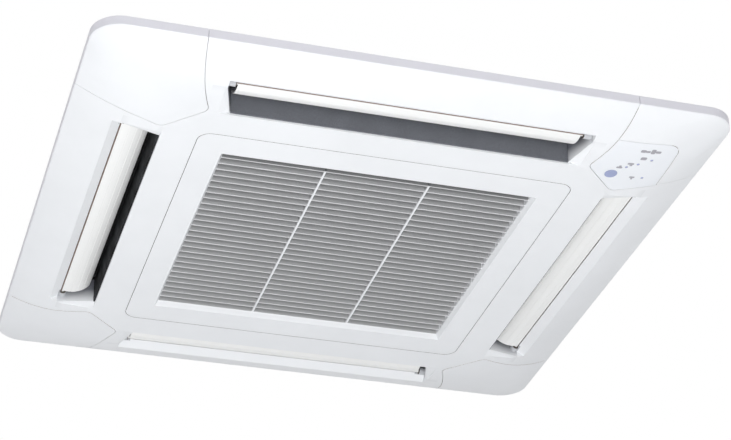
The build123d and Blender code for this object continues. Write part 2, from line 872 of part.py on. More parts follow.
with BuildPart() as motor_screws:
    for side in SIDES:
        for post in motor_posts:
            top = motor_face + motor_ear_thickness + slip
            tip = top - motor_ear_thickness - motor_screw_depth
            add(side_rod(side, post, motor_screw_d, tip, top + bite))
            add(side_rod(side, post, 2 * motor_screw_d, top, top + motor_screw_head))
save(motor_screws.part, "motor_screws")

# ---------------------------------------------------------------- corner covers
mid_form = panel_form(skin / 2)
cover_forms = (outer_form - inner_form) & corner_block(-seam / 2)
board_z = face_z + board_up


def corner_piece(side, pieces):
    """The piece of a set of four that lies at the corner after one side."""
    x, y = CORNERS[SIDES.index(side)]
    return [solid for solid in pieces.solids() if solid.center().X * x > 0 and solid.center().Y * y > 0]


def clip(side, spot, turn):
    """Clip standing up through the ledge behind a cover."""
    with BuildPart(mode=Mode.PRIVATE) as tongue:
        with BuildSketch(plan_plane(side, face_z)):
            with Locations(Location((spot[0], spot[1], 0), (0, 0, turn))):
                Rectangle(clip_thickness, clip_width)
        extrude(amount=clip_top)
        add(mid_form, mode=Mode.INTERSECT)
    return tongue.part


def window_block(edge):
    """Upright block over the receiver window, at the corner with +X and -Y."""
    with BuildPart(mode=Mode.PRIVATE) as block:
        with BuildSketch(plan_plane("near", face_z - past)):
            RectangleRounded(2 * edge, 2 * edge, window_corner)
        extrude(amount=panel_height)
    return block.part


for side in SIDES:
    with BuildPart() as corner_cover:
        add(corner_piece(side, cover_forms))
        if side == "near":
            add(window_block(window_edge + seat), mode=Mode.SUBTRACT)
        for spot, turn in clip_spots[: 2 if side == "near" else 3]:
            add(clip(side, spot, turn))
    save(corner_cover.part, f"corner_cover_{side}")

# satin window over the receiver board
with BuildPart() as receiver_window:
    add(corner_piece("near", cover_forms))
    add(window_block(window_edge - seat), mode=Mode.INTERSECT)
    add(clip("near", *clip_spots[2]))
    for spot in board_posts:
        with BuildPart(mode=Mode.PRIVATE) as post:
            add(upright(spot, board_post_d, face_z, board_z - slip))
            add(mid_form, mode=Mode.INTERSECT)
        add(post.part)
    add(upright(button_at, button_d + button_play, face_z - past, 0), mode=Mode.SUBTRACT)
    for spot in lamp_spots:
        add(upright(spot, lamp_d + lamp_play, face_z - past, 0), mode=Mode.SUBTRACT)
save(receiver_window.part, "receiver_window")

# board with the infrared receiver
with BuildPart() as receiver_board:
    with BuildSketch(Plane.XY.offset(board_z)):
        for x, y in board_areas:
            with Locations(((x[0] + x[1]) / 2, (y[0] + y[1]) / 2)):
                Rectangle(x[1] - x[0], y[1] - y[0])
        with Locations(button_at):
            Circle(button_stem_d / 2 + seat, mode=Mode.SUBTRACT)
    extrude(amount=board_thickness)
    top = board_z + board_thickness
    for across, along, height in chip_spots:
        add(slab(across, along, (top - solder, top + height)))
    add(upright(eye_spot, eye_d, top - solder, top + eye_d))
save(receiver_board.part, "receiver_board")

with BuildPart() as indicator_lamps:
    for spot in lamp_spots:
        with BuildPart(mode=Mode.PRIVATE) as lamp:
            add(upright(spot, lamp_d, face_z - bite, board_z - slip))
            add(outer_form, mode=Mode.INTERSECT)
        add(lamp.part)
save(indicator_lamps.part, "indicator_lamps")

with BuildPart() as emergency_button:
    add(upright(button_at, button_d, face_z - past, face_z + button_cap))
    add(outer_form.moved(Location((0, 0, -button_proud))), mode=Mode.INTERSECT)
    stem_end = board_z + board_thickness + button_stem_out
    add(upright(button_at, button_stem_d, face_z + button_cap - button_root, stem_end))
    collar = board_z + board_thickness + seat
    add(upright(button_at, button_stem_d + 2 * collar_width, collar, collar + collar_width))
save(emergency_button.part, "emergency_button")


# ---------------------------------------------------------------- intake grille
window_half = (window_x / 2, window_y / 2)
grid_bottom = face_z + window_recess
grid_top = grid_bottom + slat_height
frame_half = (window_half[0] + window_bevel + skin, window_half[1] + window_bevel + skin)
slat_pitch = window_y / slat_count
latch_y = -well_half - skin / 2 + latch_reach / 2 + bite

with BuildPart() as intake_grille:
    add(well_block(face_z, grille_depth, grille_half))
    add(well_block(face_z + lip_depth, grille_depth, grille_half - lip_depth), mode=Mode.SUBTRACT)
    rise = (face_z + bite, grid_top)
    add(slab((-frame_half[0], frame_half[0]), (-frame_half[1], frame_half[1]), rise))
    # bevelled lip round the slats
    with BuildSketch(Plane.XY.offset(grid_bottom)):
        Rectangle(window_x, window_y)
    with BuildSketch(Plane.XY.offset(face_z)):
        Rectangle(window_x + 2 * window_bevel, window_y + 2 * window_bevel)
    loft(mode=Mode.SUBTRACT)
    # openings between the slats, in three columns
    with BuildSketch(Plane.XY.offset(grid_bottom - bite)):
        middle = rib_pitch - rib_width
        outer = window_half[0] - (rib_pitch + rib_width) / 2
        side_x = window_half[0] - outer / 2
        for x, width in ((0, middle), (side_x, outer), (-side_x, outer)):
            with Locations((x, 0)):
                with GridLocations(1, slat_pitch, 1, slat_count):
                    Rectangle(width, slat_pitch - slat_thickness)
    extrude(amount=slat_height + 2 * bite, mode=Mode.SUBTRACT)
    # hinge arms: up from the pins, in over the lip of the fascia and down to the skirt
    lip_reach = hinge_out - seam + arm_room
    arm_outline = (
        (hinge_y + arm_post[0], hinge_z),
        (hinge_y + arm_post[0], hinge_z + lip_reach),
        (hinge_y - lip_reach - arm_leg[0], hinge_z + lip_reach),
        (hinge_y - lip_reach - arm_leg[0], face_z + lip_depth - bite),
        (hinge_y - lip_reach - arm_leg[1], face_z + lip_depth - bite),
        (hinge_y - lip_reach - arm_leg[1], hinge_z + lip_reach + arm_thickness),
        (hinge_y + arm_post[1], hinge_z + lip_reach + arm_thickness),
        (hinge_y + arm_post[1], hinge_z),
    )
    for way in (-1, 1):
        with BuildSketch(Plane.YZ.offset(way * hinge_x - arm_width / 2)):
            Polygon(*arm_outline, align=None)
            with Locations((hinge_y, hinge_z)):
                Circle(hinge_r)
        extrude(amount=arm_width)
    with BuildSketch(Plane.YZ):
        with Locations((hinge_y, hinge_z)):
            Circle(hinge_pin_d / 2 + slip)
    extrude(amount=big / 2, both=True, mode=Mode.SUBTRACT)
    # strikers under the latches
    for x in (-latch_x, latch_x):
        striker_top = latch_bottom - plunger_out - seat
        across = (x - striker[0] / 2, x + striker[0] / 2)
        along = (latch_y - striker[1] / 2, latch_y + striker[1] / 2)
        add(slab(across, along, (face_z + bite, striker_top)))
save(intake_grille.part, "intake_grille")

# steel pins through the lugs of the fascia
with BuildPart() as grille_hinge_pins:
    for x in (-hinge_x, hinge_x):
        with BuildSketch(Plane.YZ.offset(x)):
            with Locations((hinge_y, hinge_z)):
                Circle(hinge_pin_d / 2)
        extrude(amount=arm_width / 2 + lug_play + lug_wall + pin_proud, both=True)
save(grille_hinge_pins.part, "grille_hinge_pins")

# push latches under the flange of the well
with BuildPart() as latch_bodies:
    for x in (-latch_x, latch_x):
        top = -well_top_gap - skin - slip
        y = (latch_y - latch_body[0], latch_y + latch_body[1])
        add(slab((x - latch_width / 2, x + latch_width / 2), y, (latch_bottom, top)))
        bore = upright((x, latch_y), plunger_d + 2 * slip, latch_bottom - bite, top - latch_cap)
        add(bore, mode=Mode.SUBTRACT)
save(latch_bodies.part, "latch_bodies")
for way, name in ((-1, "left"), (1, "right")):
    with BuildPart() as latch_plunger:
        top = -well_top_gap - skin - slip - latch_cap - plunger_travel - seat
        add(upright((way * latch_x, latch_y), plunger_d, latch_bottom - plunger_out, top))
    save(latch_plunger.part, f"latch_plunger_{name}")

# lift-out filter on top of the slats
with BuildPart() as filter_frame:
    bottom = grid_top + seat
    with BuildSketch(Plane.XY.offset(bottom)):
        RectangleRounded(2 * filter_half, 2 * filter_half, filter_radius)
        opening = (2 * filter_half - 2 * filter_border - filter_bar * (filter_cells - 1)) / filter_cells
        with GridLocations(opening + filter_bar, opening + filter_bar, filter_cells, filter_cells):
            Rectangle(opening, opening, mode=Mode.SUBTRACT)
    extrude(amount=filter_height)
    tab = (filter_tab[0] / 2, filter_tab[1] / 2)
    rise = (bottom + filter_height - bite / 2, bottom + filter_height + filter_tab[2])
    for y in (-filter_half + tab[1], filter_half - tab[1]):
        add(slab((-tab[0], tab[0]), (y - tab[1], y + tab[1]), rise))
save(filter_frame.part, "filter_frame")
with BuildPart() as filter_mesh:
    net_half = filter_half - filter_border - seat + net_land
    z = bottom + filter_height + slip
    add(slab((-net_half, net_half), (-net_half, net_half), (z, z + net_thickness)))
save(filter_mesh.part, "filter_mesh")

# ---------------------------------------------------------------- cabinet
def octagon(inset, hole=None):
    """Plan of the cabinet pulled in by a wall, as a ring when a hole inset is given."""
    def corners(step):
        half = body_half - step
        flat = 2 * body_half - body_chamfer - sqrt(2) * step - half
        quarter = [(half, flat), (flat, half)]
        return [
            (x * turn[0] - y * turn[1], x * turn[1] + y * turn[0])
            for turn in ((1, 0), (0, 1), (-1, 0), (0, -1))
            for x, y in quarter
        ]
    with BuildSketch(mode=Mode.PRIVATE) as outline:
        Polygon(*corners(inset), align=None)
        if hole is not None:
            Polygon(*corners(hole), align=None, mode=Mode.SUBTRACT)
    return outline.sketch


def octagon_ring(z, height, inset, hole=None):
    with BuildPart(mode=Mode.PRIVATE) as ring:
        with BuildSketch(Plane.XY.offset(z)):
            add(octagon(inset, hole))
        extrude(amount=height)
    return ring.part


def screw_spots(side):
    """Place of the panel screw at the corner after one side."""
    spot = plan_plane(side, 0).from_local_coords(Vector(*screw_at, 0))
    return (spot.X, spot.Y)


liner_in = sheet + seat
pan_bottom = body_bottom + sheet + seat / 2
pan_top = pan_bottom + pan_height
lid_z = body_top + slip
trough_z = pan_top - trough_depth
pipe_spots = ((gas_at, gas_pipe_d), (liquid_at, liquid_pipe_d))


def wall_holes(extra):
    """Round holes for the pipes, the drain and the cable through the sides."""
    reach = (body_half - 2 * foam - 2 * past, body_half + 2 * past)
    with BuildPart(mode=Mode.PRIVATE) as holes:
        for spot, diameter in pipe_spots:
            add(out_rod("far", spot, diameter + pipe_hole_play + extra, *reach))
        add(out_rod("right", drain_at, drain_d + drain_hole_play + extra, *reach))
        add(out_rod("right", grommet_at, grommet_d + extra, *reach))
    return holes.part


def lid_screw_hole(side, along, play):
    """Hole for one screw of the lid."""
    spot = (along, lid_screw_z)
    return out_rod(side, spot, lid_screw_d + play, body_half - 2 * past, body_half + 2 * past)


holes = wall_holes(0)
liner_holes = wall_holes(liner_hole_play)

with BuildPart() as cabinet_sides:
    add(octagon_ring(body_bottom, body_top - body_bottom, 0, sheet))
    with BuildSketch(Plane.XY.offset(body_bottom)):
        add(octagon(sheet / 2, flange_in))
        for side in SIDES:
            with Locations(screw_spots(side)):
                Circle(lug_plate_r)
    extrude(amount=sheet)
    for side in SIDES:
        bore = upright(screw_spots(side), panel_screw_d + 2 * slip, 0, body_bottom + past)
        add(bore, mode=Mode.SUBTRACT)
        for along in (-lid_screw_at, lid_screw_at):
            add(lid_screw_hole(side, along, lid_screw_play), mode=Mode.SUBTRACT)
    add(holes, mode=Mode.SUBTRACT)
save(cabinet_sides.part, "cabinet_sides")

with BuildPart() as cabinet_top:
    add(octagon_ring(lid_z, sheet, -sheet - slip))
    add(octagon_ring(lid_z - lid_lip, lid_lip + sheet / 2, -sheet - slip, -slip))
    for radius in lid_rings:
        with BuildSketch(Plane.XY.offset(lid_z + sheet)):
            Circle(radius + lid_ring_width / 2)
            Circle(radius - lid_ring_width / 2, mode=Mode.SUBTRACT)
        extrude(amount=lid_ring_rise)
    for side in SIDES:
        for along in (-lid_screw_at, lid_screw_at):
            add(lid_screw_hole(side, along, lid_screw_play), mode=Mode.SUBTRACT)
save(cabinet_top.part, "cabinet_top")

with BuildPart() as cabinet_screws:
    for side in SIDES:
        for along in (-lid_screw_at, lid_screw_at):
            face = body_half + sheet + 2 * slip
            spot = (along, lid_screw_z)
            add(out_rod(side, spot, lid_screw_d, face - lid_screw_grip, face + bite))
            add(out_rod(side, spot, 2 * lid_screw_d, face, face + lid_screw_head))
save(cabinet_screws.part, "cabinet_screws")

with BuildPart() as cabinet_liner:
    liner_top = body_top - seat
    add(octagon_ring(pan_top + seat, liner_top - foam_top - pan_top - seat, liner_in, liner_in + foam))
    add(octagon_ring(liner_top - foam_top, foam_top, liner_in))
    well = upright((0, 0), 2 * (bracket_r + liner_bracket_play), body_top - liner_bracket_depth, body_top)
    add(well, mode=Mode.SUBTRACT)
    add(liner_holes, mode=Mode.SUBTRACT)
    for side in SIDES:
        for along in (-lid_screw_at, lid_screw_at):
            spot = (along, lid_screw_z)
            end = body_half - 2 * lid_screw_grip
            add(out_rod(side, spot, lid_screw_d + liner_screw_play, end, body_half), mode=Mode.SUBTRACT)
save(cabinet_liner.part, "cabinet_liner")

# foam drain pan with the outlet ducts and the trough under the coil
with BuildPart() as drain_pan:
    add(octagon_ring(pan_bottom, pan_height, liner_in))
    trough_in = coil_inner - trough_wall
    trough_out = coil_inner + coil_depth + trough_wall + trough_spare
    with BuildSketch(Plane.XY.offset(trough_z)):
        RectangleRounded(2 * trough_out, 2 * trough_out, coil_bend + coil_depth)
        RectangleRounded(2 * trough_in, 2 * trough_in, coil_bend, mode=Mode.SUBTRACT)
        with Locations(pump_at):
            Circle(sump_r)
    extrude(amount=pan_height, mode=Mode.SUBTRACT)
    with BuildSketch(Plane.XY.offset(pan_bottom - bite)):
        Circle(pan_hole)
        for side in SIDES:
            with Locations(outward(side) * (duct_in + duct_out) / 2):
                if side in ("near", "far"):
                    Rectangle(2 * duct_half, duct_out - duct_in)
                else:
                    Rectangle(duct_out - duct_in, 2 * duct_half)
    extrude(amount=pan_height + 2 * bite, mode=Mode.SUBTRACT)
    pocket_x = (box_inner - seat, box_outer + seat)
    add(slab(pocket_x, (-box_half - seat, box_half + seat), (0, box_top + seat)), mode=Mode.SUBTRACT)
    for side in SIDES:
        room = upright(screw_spots(side), panel_head_d, 0, body_bottom + sheet + panel_screw_grip + past)
        add(room, mode=Mode.SUBTRACT)
save(drain_pan.part, "drain_pan")

with BuildPart() as panel_screws:
    for side in SIDES:
        spot = screw_spots(side)
        under = body_bottom - seat / 2 - cup_floor - slip
        add(upright(spot, panel_screw_d, under - bite, body_bottom + sheet + panel_screw_grip))
        add(upright(spot, panel_head_d + 2 * washer_width, under - washer_thickness, under))
        with BuildSketch(Plane.XY.offset(under - washer_thickness)):
            with Locations(spot):
                RegularPolygon(panel_head_d / 2, 6)
        extrude(amount=-panel_head_height)
save(panel_screws.part, "panel_screws")


# ---------------------------------------------------------------- air path
def turned(points, arcs=()):
    """Body turned about the upright axis from a closed outline of radius and height."""
    with BuildPart(mode=Mode.PRIVATE) as body:
        with BuildSketch(Plane.XZ):
            with BuildLine():
                for index, point in enumerate(points):
                    following = points[(index + 1) % len(points)]
                    if index in arcs:
                        RadiusArc(point, following, arcs[index])
                    else:
                        Line(point, following)
            make_face()
        revolve(axis=Axis.Z)
    return body.part


bell_screw_ring = bell_flange - bell_screw_edge
with BuildPart() as bell_mouth:
    lip = bell_throat + bell_curve[0]
    shoulder = bell_seat + bell_curve[1]
    with BuildSketch(Plane.XZ):
        with BuildLine():
            Line((bell_flange, bell_seat), (lip, bell_seat))
            EllipticalCenterArc((lip, shoulder), bell_curve[0], bell_curve[1], 180, arc_size=90)
            Line((bell_throat, shoulder), (bell_throat, bell_top))
            Line((bell_throat, bell_top), (bell_throat + bell_wall, bell_top))
            Line((bell_throat + bell_wall, bell_top), (bell_throat + bell_wall, shoulder))
            rx = bell_curve[0] - bell_wall
            ry = bell_curve[1] - bell_wall
            EllipticalCenterArc((lip, shoulder), rx, ry, 180, arc_size=90)
            Line((lip, bell_seat + bell_wall), (bell_flange, bell_seat + bell_wall))
            Line((bell_flange, bell_seat + bell_wall), (bell_flange, bell_seat))
        make_face()
    revolve(axis=Axis.Z)
    with PolarLocations(bell_screw_ring, bell_screw_count, start_angle=bell_screw_turn):
        Hole(bell_screw_d / 2 + seat, depth=big)
save(bell_mouth.part, "bell_mouth")

with BuildPart() as bell_mouth_screws:
    with BuildSketch(Plane.XY.offset(bell_seat - slip)):
        with PolarLocations(bell_screw_ring, bell_screw_count, start_angle=bell_screw_turn):
            Circle(bell_head_d / 2)
    extrude(amount=-bell_head_height)
    with BuildSketch(Plane.XY.offset(bell_seat - bite / 2)):
        with PolarLocations(bell_screw_ring, bell_screw_count, start_angle=bell_screw_turn):
            Circle(bell_screw_d / 2)
    extrude(amount=bell_wall + bell_screw_grip)
save(bell_mouth_screws.part, "bell_mouth_screws")

coil_outer = coil_inner + coil_depth
coil_bottom = trough_z + coil_bottom_gap
coil_top = body_top - seat - foam_top - coil_top_gap
with BuildPart() as heat_exchanger:
    with BuildSketch(Plane.XY.offset(coil_bottom)):
        RectangleRounded(2 * coil_outer, 2 * coil_outer, coil_bend + coil_depth)
        RectangleRounded(2 * coil_inner, 2 * coil_inner, coil_bend, mode=Mode.SUBTRACT)
        with Locations((coil_end, coil_end)):
            Rectangle(big, big, align=(Align.MIN, Align.MIN), mode=Mode.SUBTRACT)
    extrude(amount=coil_top - coil_bottom)
save(heat_exchanger.part, "heat_exchanger")

end_face = coil_end + slip
end_span = (coil_inner - end_plate_margin[0], coil_outer + end_plate_margin[1])
# the end plates stand on the floor of the trough and hold up the top foam
end_rise = (trough_z + seat, coil_top + coil_top_gap - seat)
row_pitch = (coil_top - coil_bottom) / bend_rows
bend_rise = [coil_bottom + row_pitch * (row + 0.5) for row in range(bend_rows)]
coil_middle = (coil_inner + coil_outer) / 2
with BuildPart() as coil_end_plates:
    add(slab((end_face, end_face + end_plate), end_span, end_rise))
    add(slab(end_span, (end_face, end_face + end_plate), end_rise))
save(coil_end_plates.part, "coil_end_plates")

# copper bends on the end plates
with BuildPart() as coil_bends:
    start = end_face + end_plate + slip
    for z in bend_rise:
        for flip in (False, True):
            x_dir = (0, 1, 0) if flip else (1, 0, 0)
            middle = Vector(coil_middle, start, z) if flip else Vector(start, coil_middle, z)
            across = Vector(1, 0, 0) if flip else Vector(0, 1, 0)
            with BuildSketch(Plane(origin=middle + across * bend_turn, x_dir=(0, 0, 1), z_dir=x_dir)):
                Circle(bend_tube_d / 2)
            revolve(axis=Axis(middle, (0, 0, 1)), revolution_arc=180 if flip else -180)
save(coil_bends.part, "coil_bends")

# ---------------------------------------------------------------- fan
def fan_blade(turn):
    """Backward-curved blade, thick in the middle and thin at both ends, as a tall prism."""
    inner = Vector(fan_blade_inner, 0).rotate(Axis.Z, turn)
    outer = Vector(fan_radius - fan_wall, 0).rotate(Axis.Z, turn + fan_blade_sweep)
    middle = (inner + outer) / 2
    bow = (outer - inner).rotate(Axis.Z, -90).normalized()
    with BuildPart(mode=Mode.PRIVATE) as blade:
        with BuildSketch(Plane.XY.offset(fan_bottom)):
            with BuildLine():
                ThreePointArc(inner, middle + bow * fan_blade_bow, outer)
                ThreePointArc(inner, middle + bow * (fan_blade_bow - fan_blade_thickness), outer)
            make_face()
        extrude(amount=fan_top - fan_bottom - fan_wall / 2)
    return blade.part


with BuildPart() as turbo_fan:
    # blades, cut to the space between the shroud and the hub plate
    for number in range(blade_count):
        add(fan_blade(number * 360 / blade_count))
    half_wall = fan_wall / 2
    shoulder = fan_shoulder
    blade_room = turned((
        (fan_blade_inner - blade_spare, fan_bottom + blade_lead),
        (fan_eye + half_wall, fan_eye_top - 2 * fan_thin),
        (fan_eye + half_wall + shoulder[0] + fan_thin, fan_rim_bottom - shoulder[1] + fan_thin),
        (fan_radius + past, fan_rim_bottom + half_wall),
        (fan_radius + past, fan_top - half_wall),
        (fan_blade_inner - blade_spare, fan_top - half_wall),
    ))
    add(blade_room, mode=Mode.INTERSECT)
    add(turned((
        (fan_eye, fan_bottom),
        (fan_eye + fan_wall, fan_bottom),
        (fan_eye + fan_wall, fan_eye_top - fan_thin),
        (fan_eye + fan_wall + shoulder[0], fan_rim_bottom - shoulder[1]),
        (fan_radius, fan_rim_bottom - fan_thin),
        (fan_radius, fan_rim_bottom - fan_thin + fan_wall),
        (fan_eye + shoulder[0], fan_rim_bottom - shoulder[1] + fan_wall),
        (fan_eye, fan_eye_top),
    )))
    cup_out = fan_cup + fan_wall
    add(turned((
        (fan_radius, fan_top - fan_wall),
        (fan_radius, fan_top),
        (fan_cup + cup_edge[0], fan_top),
        (fan_cup, fan_top - cup_edge[1]),
        (fan_cup - cup_draft, fan_cup_floor + fan_wall),
        (0, fan_cup_floor + fan_wall),
        (0, fan_cup_floor - fan_boss_drop),
        (fan_boss_d / 2, fan_cup_floor - fan_boss_drop),
        (fan_boss_d / 2, fan_cup_floor),
        (cup_out - cup_draft, fan_cup_floor),
        (cup_out, fan_top - fan_wall),
    )))
    bore = upright((0, 0), shaft_d + 2 * slip, fan_bottom, fan_top)
    add(bore, mode=Mode.SUBTRACT)
save(turbo_fan.part, "turbo_fan")

with BuildPart() as fan_shaft:
    low = fan_cup_floor - fan_boss_drop - fan_nut_height - shaft_below
    add(upright((0, 0), shaft_d, low, motor_bottom + motor_socket - bite))
save(fan_shaft.part, "fan_shaft")

with BuildPart() as fan_nut:
    with BuildSketch(Plane.XY.offset(fan_cup_floor - fan_boss_drop - slip)):
        RegularPolygon(fan_nut_af / sqrt(3), 6)
        Circle(shaft_d / 2 + slip, mode=Mode.SUBTRACT)
    extrude(amount=-fan_nut_height)
save(fan_nut.part, "fan_nut")

# motor under the lid, on three rubber bushes
lug_top = motor_top - motor_roof
stud_spots = [
    (lug_radius * cos(radians(turn)), lug_radius * sin(radians(turn))) for turn in lug_turns
]
shell_bottom = motor_bottom + motor_nose_rise
with BuildPart() as fan_motor:
    add(turned((
        (0, motor_bottom),
        (motor_nose_r, motor_bottom),
        (motor_nose_r + motor_nose_draft, shell_bottom),
        (motor_d / 2 - motor_edge, shell_bottom + motor_edge),
        (motor_d / 2, shell_bottom + 2 * motor_edge),
        (motor_d / 2, motor_top - motor_edge),
        (motor_d / 2 - motor_edge, motor_top),
        (0, motor_top),
    )))
    with BuildSketch(Plane.XY.offset(lug_top - lug_thickness)):
        with Locations([Location((x, y, 0), (0, 0, degrees(atan2(y, x)))) for x, y in stud_spots]):
            Circle(lug_d / 2)
            Rectangle(lug_radius - motor_d / 2 + 2 * past, lug_d, align=(Align.MAX, Align.CENTER))
    extrude(amount=lug_thickness)
    for spot in stud_spots:
        hole = upright(spot, bush_d - 2 * bush_lip, lug_top - 2 * past, lug_top + 2 * past)
        add(hole, mode=Mode.SUBTRACT)
    socket = upright((0, 0), shaft_d + 2 * slip, motor_bottom - bite, motor_bottom + motor_socket)
    add(socket, mode=Mode.SUBTRACT)
save(fan_motor.part, "fan_motor")

waist = bush_d / 2 - bush_lip - slip
lug_bottom = lug_top - lug_thickness
bush_outline = (
    (stud_d / 2 + slip, lug_bottom - bush_cheek),
    (bush_d / 2, lug_bottom - bush_cheek),
    (bush_d / 2, lug_bottom - slip),
    (waist, lug_bottom - slip),
    (waist, lug_top + slip),
    (bush_d / 2, lug_top + slip),
    (bush_d / 2, lug_top + bush_cheek),
    (stud_d / 2 + slip, lug_top + bush_cheek),
)
with BuildPart() as motor_bushes:
    bush = turned(bush_outline)
    for x, y in stud_spots:
        add(bush.moved(Location((x, y, 0))))
save(motor_bushes.part, "motor_bushes")

bracket_top = body_top - slip
with BuildPart() as motor_bracket:
    add(upright((0, 0), 2 * bracket_r, bracket_top - bracket_thickness, bracket_top))
    for spot in stud_spots:
        add(upright(spot, bush_d - 2 * bush_lip, lug_top + bush_cheek + slip, bracket_top - bite))
        add(upright(spot, stud_d, lug_bottom - stud_drop, bracket_top - bite))
save(motor_bracket.part, "motor_bracket")

with BuildPart() as motor_nuts:
    with BuildSketch(Plane.XY.offset(lug_bottom - bush_cheek - slip)):
        with Locations(stud_spots):
            RegularPolygon(stud_nut_r, 6)
            Circle(stud_d / 2 + slip, mode=Mode.SUBTRACT)
    extrude(amount=-stud_nut_height)
save(motor_nuts.part, "motor_nuts")

# ---------------------------------------------------------------- pipes and drain

def bent_tube(points, diameter, bend, bore=None):
    """Tube along a line of points with rounded bends."""
    with BuildPart(mode=Mode.PRIVATE) as tube:
        with BuildLine() as path:
            FilletPolyline(*points, radius=bend)
        with BuildSketch(Plane(origin=path.line @ 0, z_dir=path.line % 0)):
            Circle(diameter / 2)
            if bore:
                Circle(bore / 2, mode=Mode.SUBTRACT)
        sweep()
    return tube.part


for name, (spot, diameter), run, way in (
    ("gas_pipe", pipe_spots[0], gas_run, 1),
    ("liquid_pipe", pipe_spots[1], liquid_run, -1),
):
    with BuildPart() as pipe:
        x, z = spot
        from_plate, rise, from_wall = run
        start = (end_face + end_plate + from_plate, coil_middle + way * pipe_across)
        route = (
            (*start, coil_bottom + rise),
            (*start, z),
            (x, body_half - from_wall, z),
            (x, pipe_reach - pipe_stub, z),
        )
        add(bent_tube(route, diameter + 2 * pipe_jacket, pipe_bend))
        add(out_rod("far", spot, diameter, pipe_reach - pipe_stub - bite, pipe_reach))
    save(pipe.part, name)

with BuildPart() as flare_nuts:
    for spot, diameter in pipe_spots:
        face = pipe_reach - pipe_stub - flare_nut_back
        plane = Plane(origin=(spot[0], face, spot[1]), x_dir=(1, 0, 0), z_dir=(0, 1, 0))
        with BuildSketch(plane):
            RegularPolygon(diameter / 2 + flare_nut_wall, 6)
            Circle(diameter / 2 + pipe_jacket + slip, mode=Mode.SUBTRACT)
        extrude(amount=-flare_nut_length)
save(flare_nuts.part, "flare_nuts")

with BuildPart() as pipe_plate:
    left, right, margin = pipe_plate_edge
    face = body_half + slip
    across = (liquid_at[0] - left, gas_at[0] + right)
    add(slab(across, (face, face + sheet), (gas_at[1] - margin, gas_at[1] + margin)))
    for spot, diameter in pipe_spots:
        hole_d = diameter + 2 * pipe_jacket + pipe_plate_play
        add(out_rod("far", spot, hole_d, body_half - past, body_half + past), mode=Mode.SUBTRACT)
save(pipe_plate.part, "pipe_plate")

with BuildPart() as drain_pump:
    ear_past, ear_width, ear_thickness = pump_ear
    body_end = pan_top + pump_body_height
    add(upright(pump_at, pump_foot_d, trough_z + pump_foot_gap, pan_top + past))
    with BuildSketch(Plane.XY.offset(pan_top + seat)):
        with Locations(Location((*pump_at, 0), (0, 0, -45))):
            SlotOverall(2 * sump_r + ear_past, ear_width)
    extrude(amount=ear_thickness)
    add(upright(pump_at, pump_d, pan_top + ear_thickness, body_end))
    add(upright(pump_at, pump_d - pump_cap_step, body_end - bite, pan_top + pump_cap_height))
    nozzle = Plane(origin=(*pump_at, pump_nozzle_z), x_dir=(1, 0, 0), z_dir=(0, -1, 0))
    with BuildSketch(nozzle):
        Circle(hose_bore / 2 - slip)
    extrude(amount=pump_d / 2 + pump_nozzle)
save(drain_pump.part, "drain_pump")

with BuildPart() as drain_hose:
    x, y = pump_at
    start = y - pump_d / 2 - slip
    route = (
        (x, start, pump_nozzle_z),
        (x, drain_at[0], pump_nozzle_z),
        (x, drain_at[0], drain_at[1]),
        (body_half - hose_end, drain_at[0], drain_at[1]),
    )
    add(bent_tube(route, hose_d, hose_bend, hose_bore))
save(drain_hose.part, "drain_hose")

with BuildPart() as drain_socket:
    start = body_half - socket_depth
    flange_d = drain_d + socket_flange[0]
    hose_seat = out_rod("right", drain_at, hose_d + 2 * slip, start - past, body_half - socket_bore)
    bore = out_rod("right", drain_at, hose_bore, start - past, pipe_reach + past)
    add(out_rod("right", drain_at, drain_d, start, pipe_reach))
    add(out_rod("right", drain_at, flange_d, body_half + slip, body_half + socket_flange[1]))
    add([hose_seat, bore], mode=Mode.SUBTRACT)
save(drain_socket.part, "drain_socket")

with BuildPart() as float_switch:
    x, y = float_at
    stem_d, stem_low, stem_high = float_stem
    arm_half, arm_length, arm_rise = float_arm
    add(upright(float_at, stem_d, trough_z + stem_low, pan_top + stem_high))
    add(upright(float_at, float_d, trough_z + float_rise[0], trough_z + float_rise[1]))
    along = (y - arm_half, y + arm_length)
    add(slab((x - arm_half, x + arm_half), along, (pan_top + seat, pan_top + arm_rise)))
save(float_switch.part, "float_switch")

# ---------------------------------------------------------------- hangers
hanger_face = (2 * body_half - body_chamfer) / sqrt(2) + slip
with BuildPart() as hanger_brackets:
    for way_x, way_y in CORNERS:
        turn = 45 if way_x * way_y > 0 else -45
        out = Vector(way_x, way_y, 0) / sqrt(2)
        across = Vector(-out.Y, out.X, 0)
        with BuildPart(mode=Mode.PRIVATE) as bracket:
            with BuildSketch(Plane(origin=out * hanger_face, x_dir=across, z_dir=out)):
                low = (-hanger_width / 2, hanger_z)
                with Locations(low):
                    Rectangle(hanger_width, hanger_rise, align=(Align.MIN, Align.MIN))
            extrude(amount=hanger_thickness)
            foot = out * hanger_face + Vector(0, 0, hanger_z)
            with BuildSketch(Plane(origin=foot, x_dir=out, z_dir=(0, 0, 1))):
                Rectangle(hanger_leg, hanger_width, align=(Align.MIN, Align.CENTER))
            extrude(amount=hanger_thickness)
            with BuildSketch(Plane.XY.offset(hanger_z)):
                with Locations((way_x * hanger_x, way_y * hanger_y)):
                    SlotOverall(slot_length, slot_width)
            extrude(amount=hanger_thickness, mode=Mode.SUBTRACT)
        add(bracket.part)
save(hanger_brackets.part, "hanger_brackets")

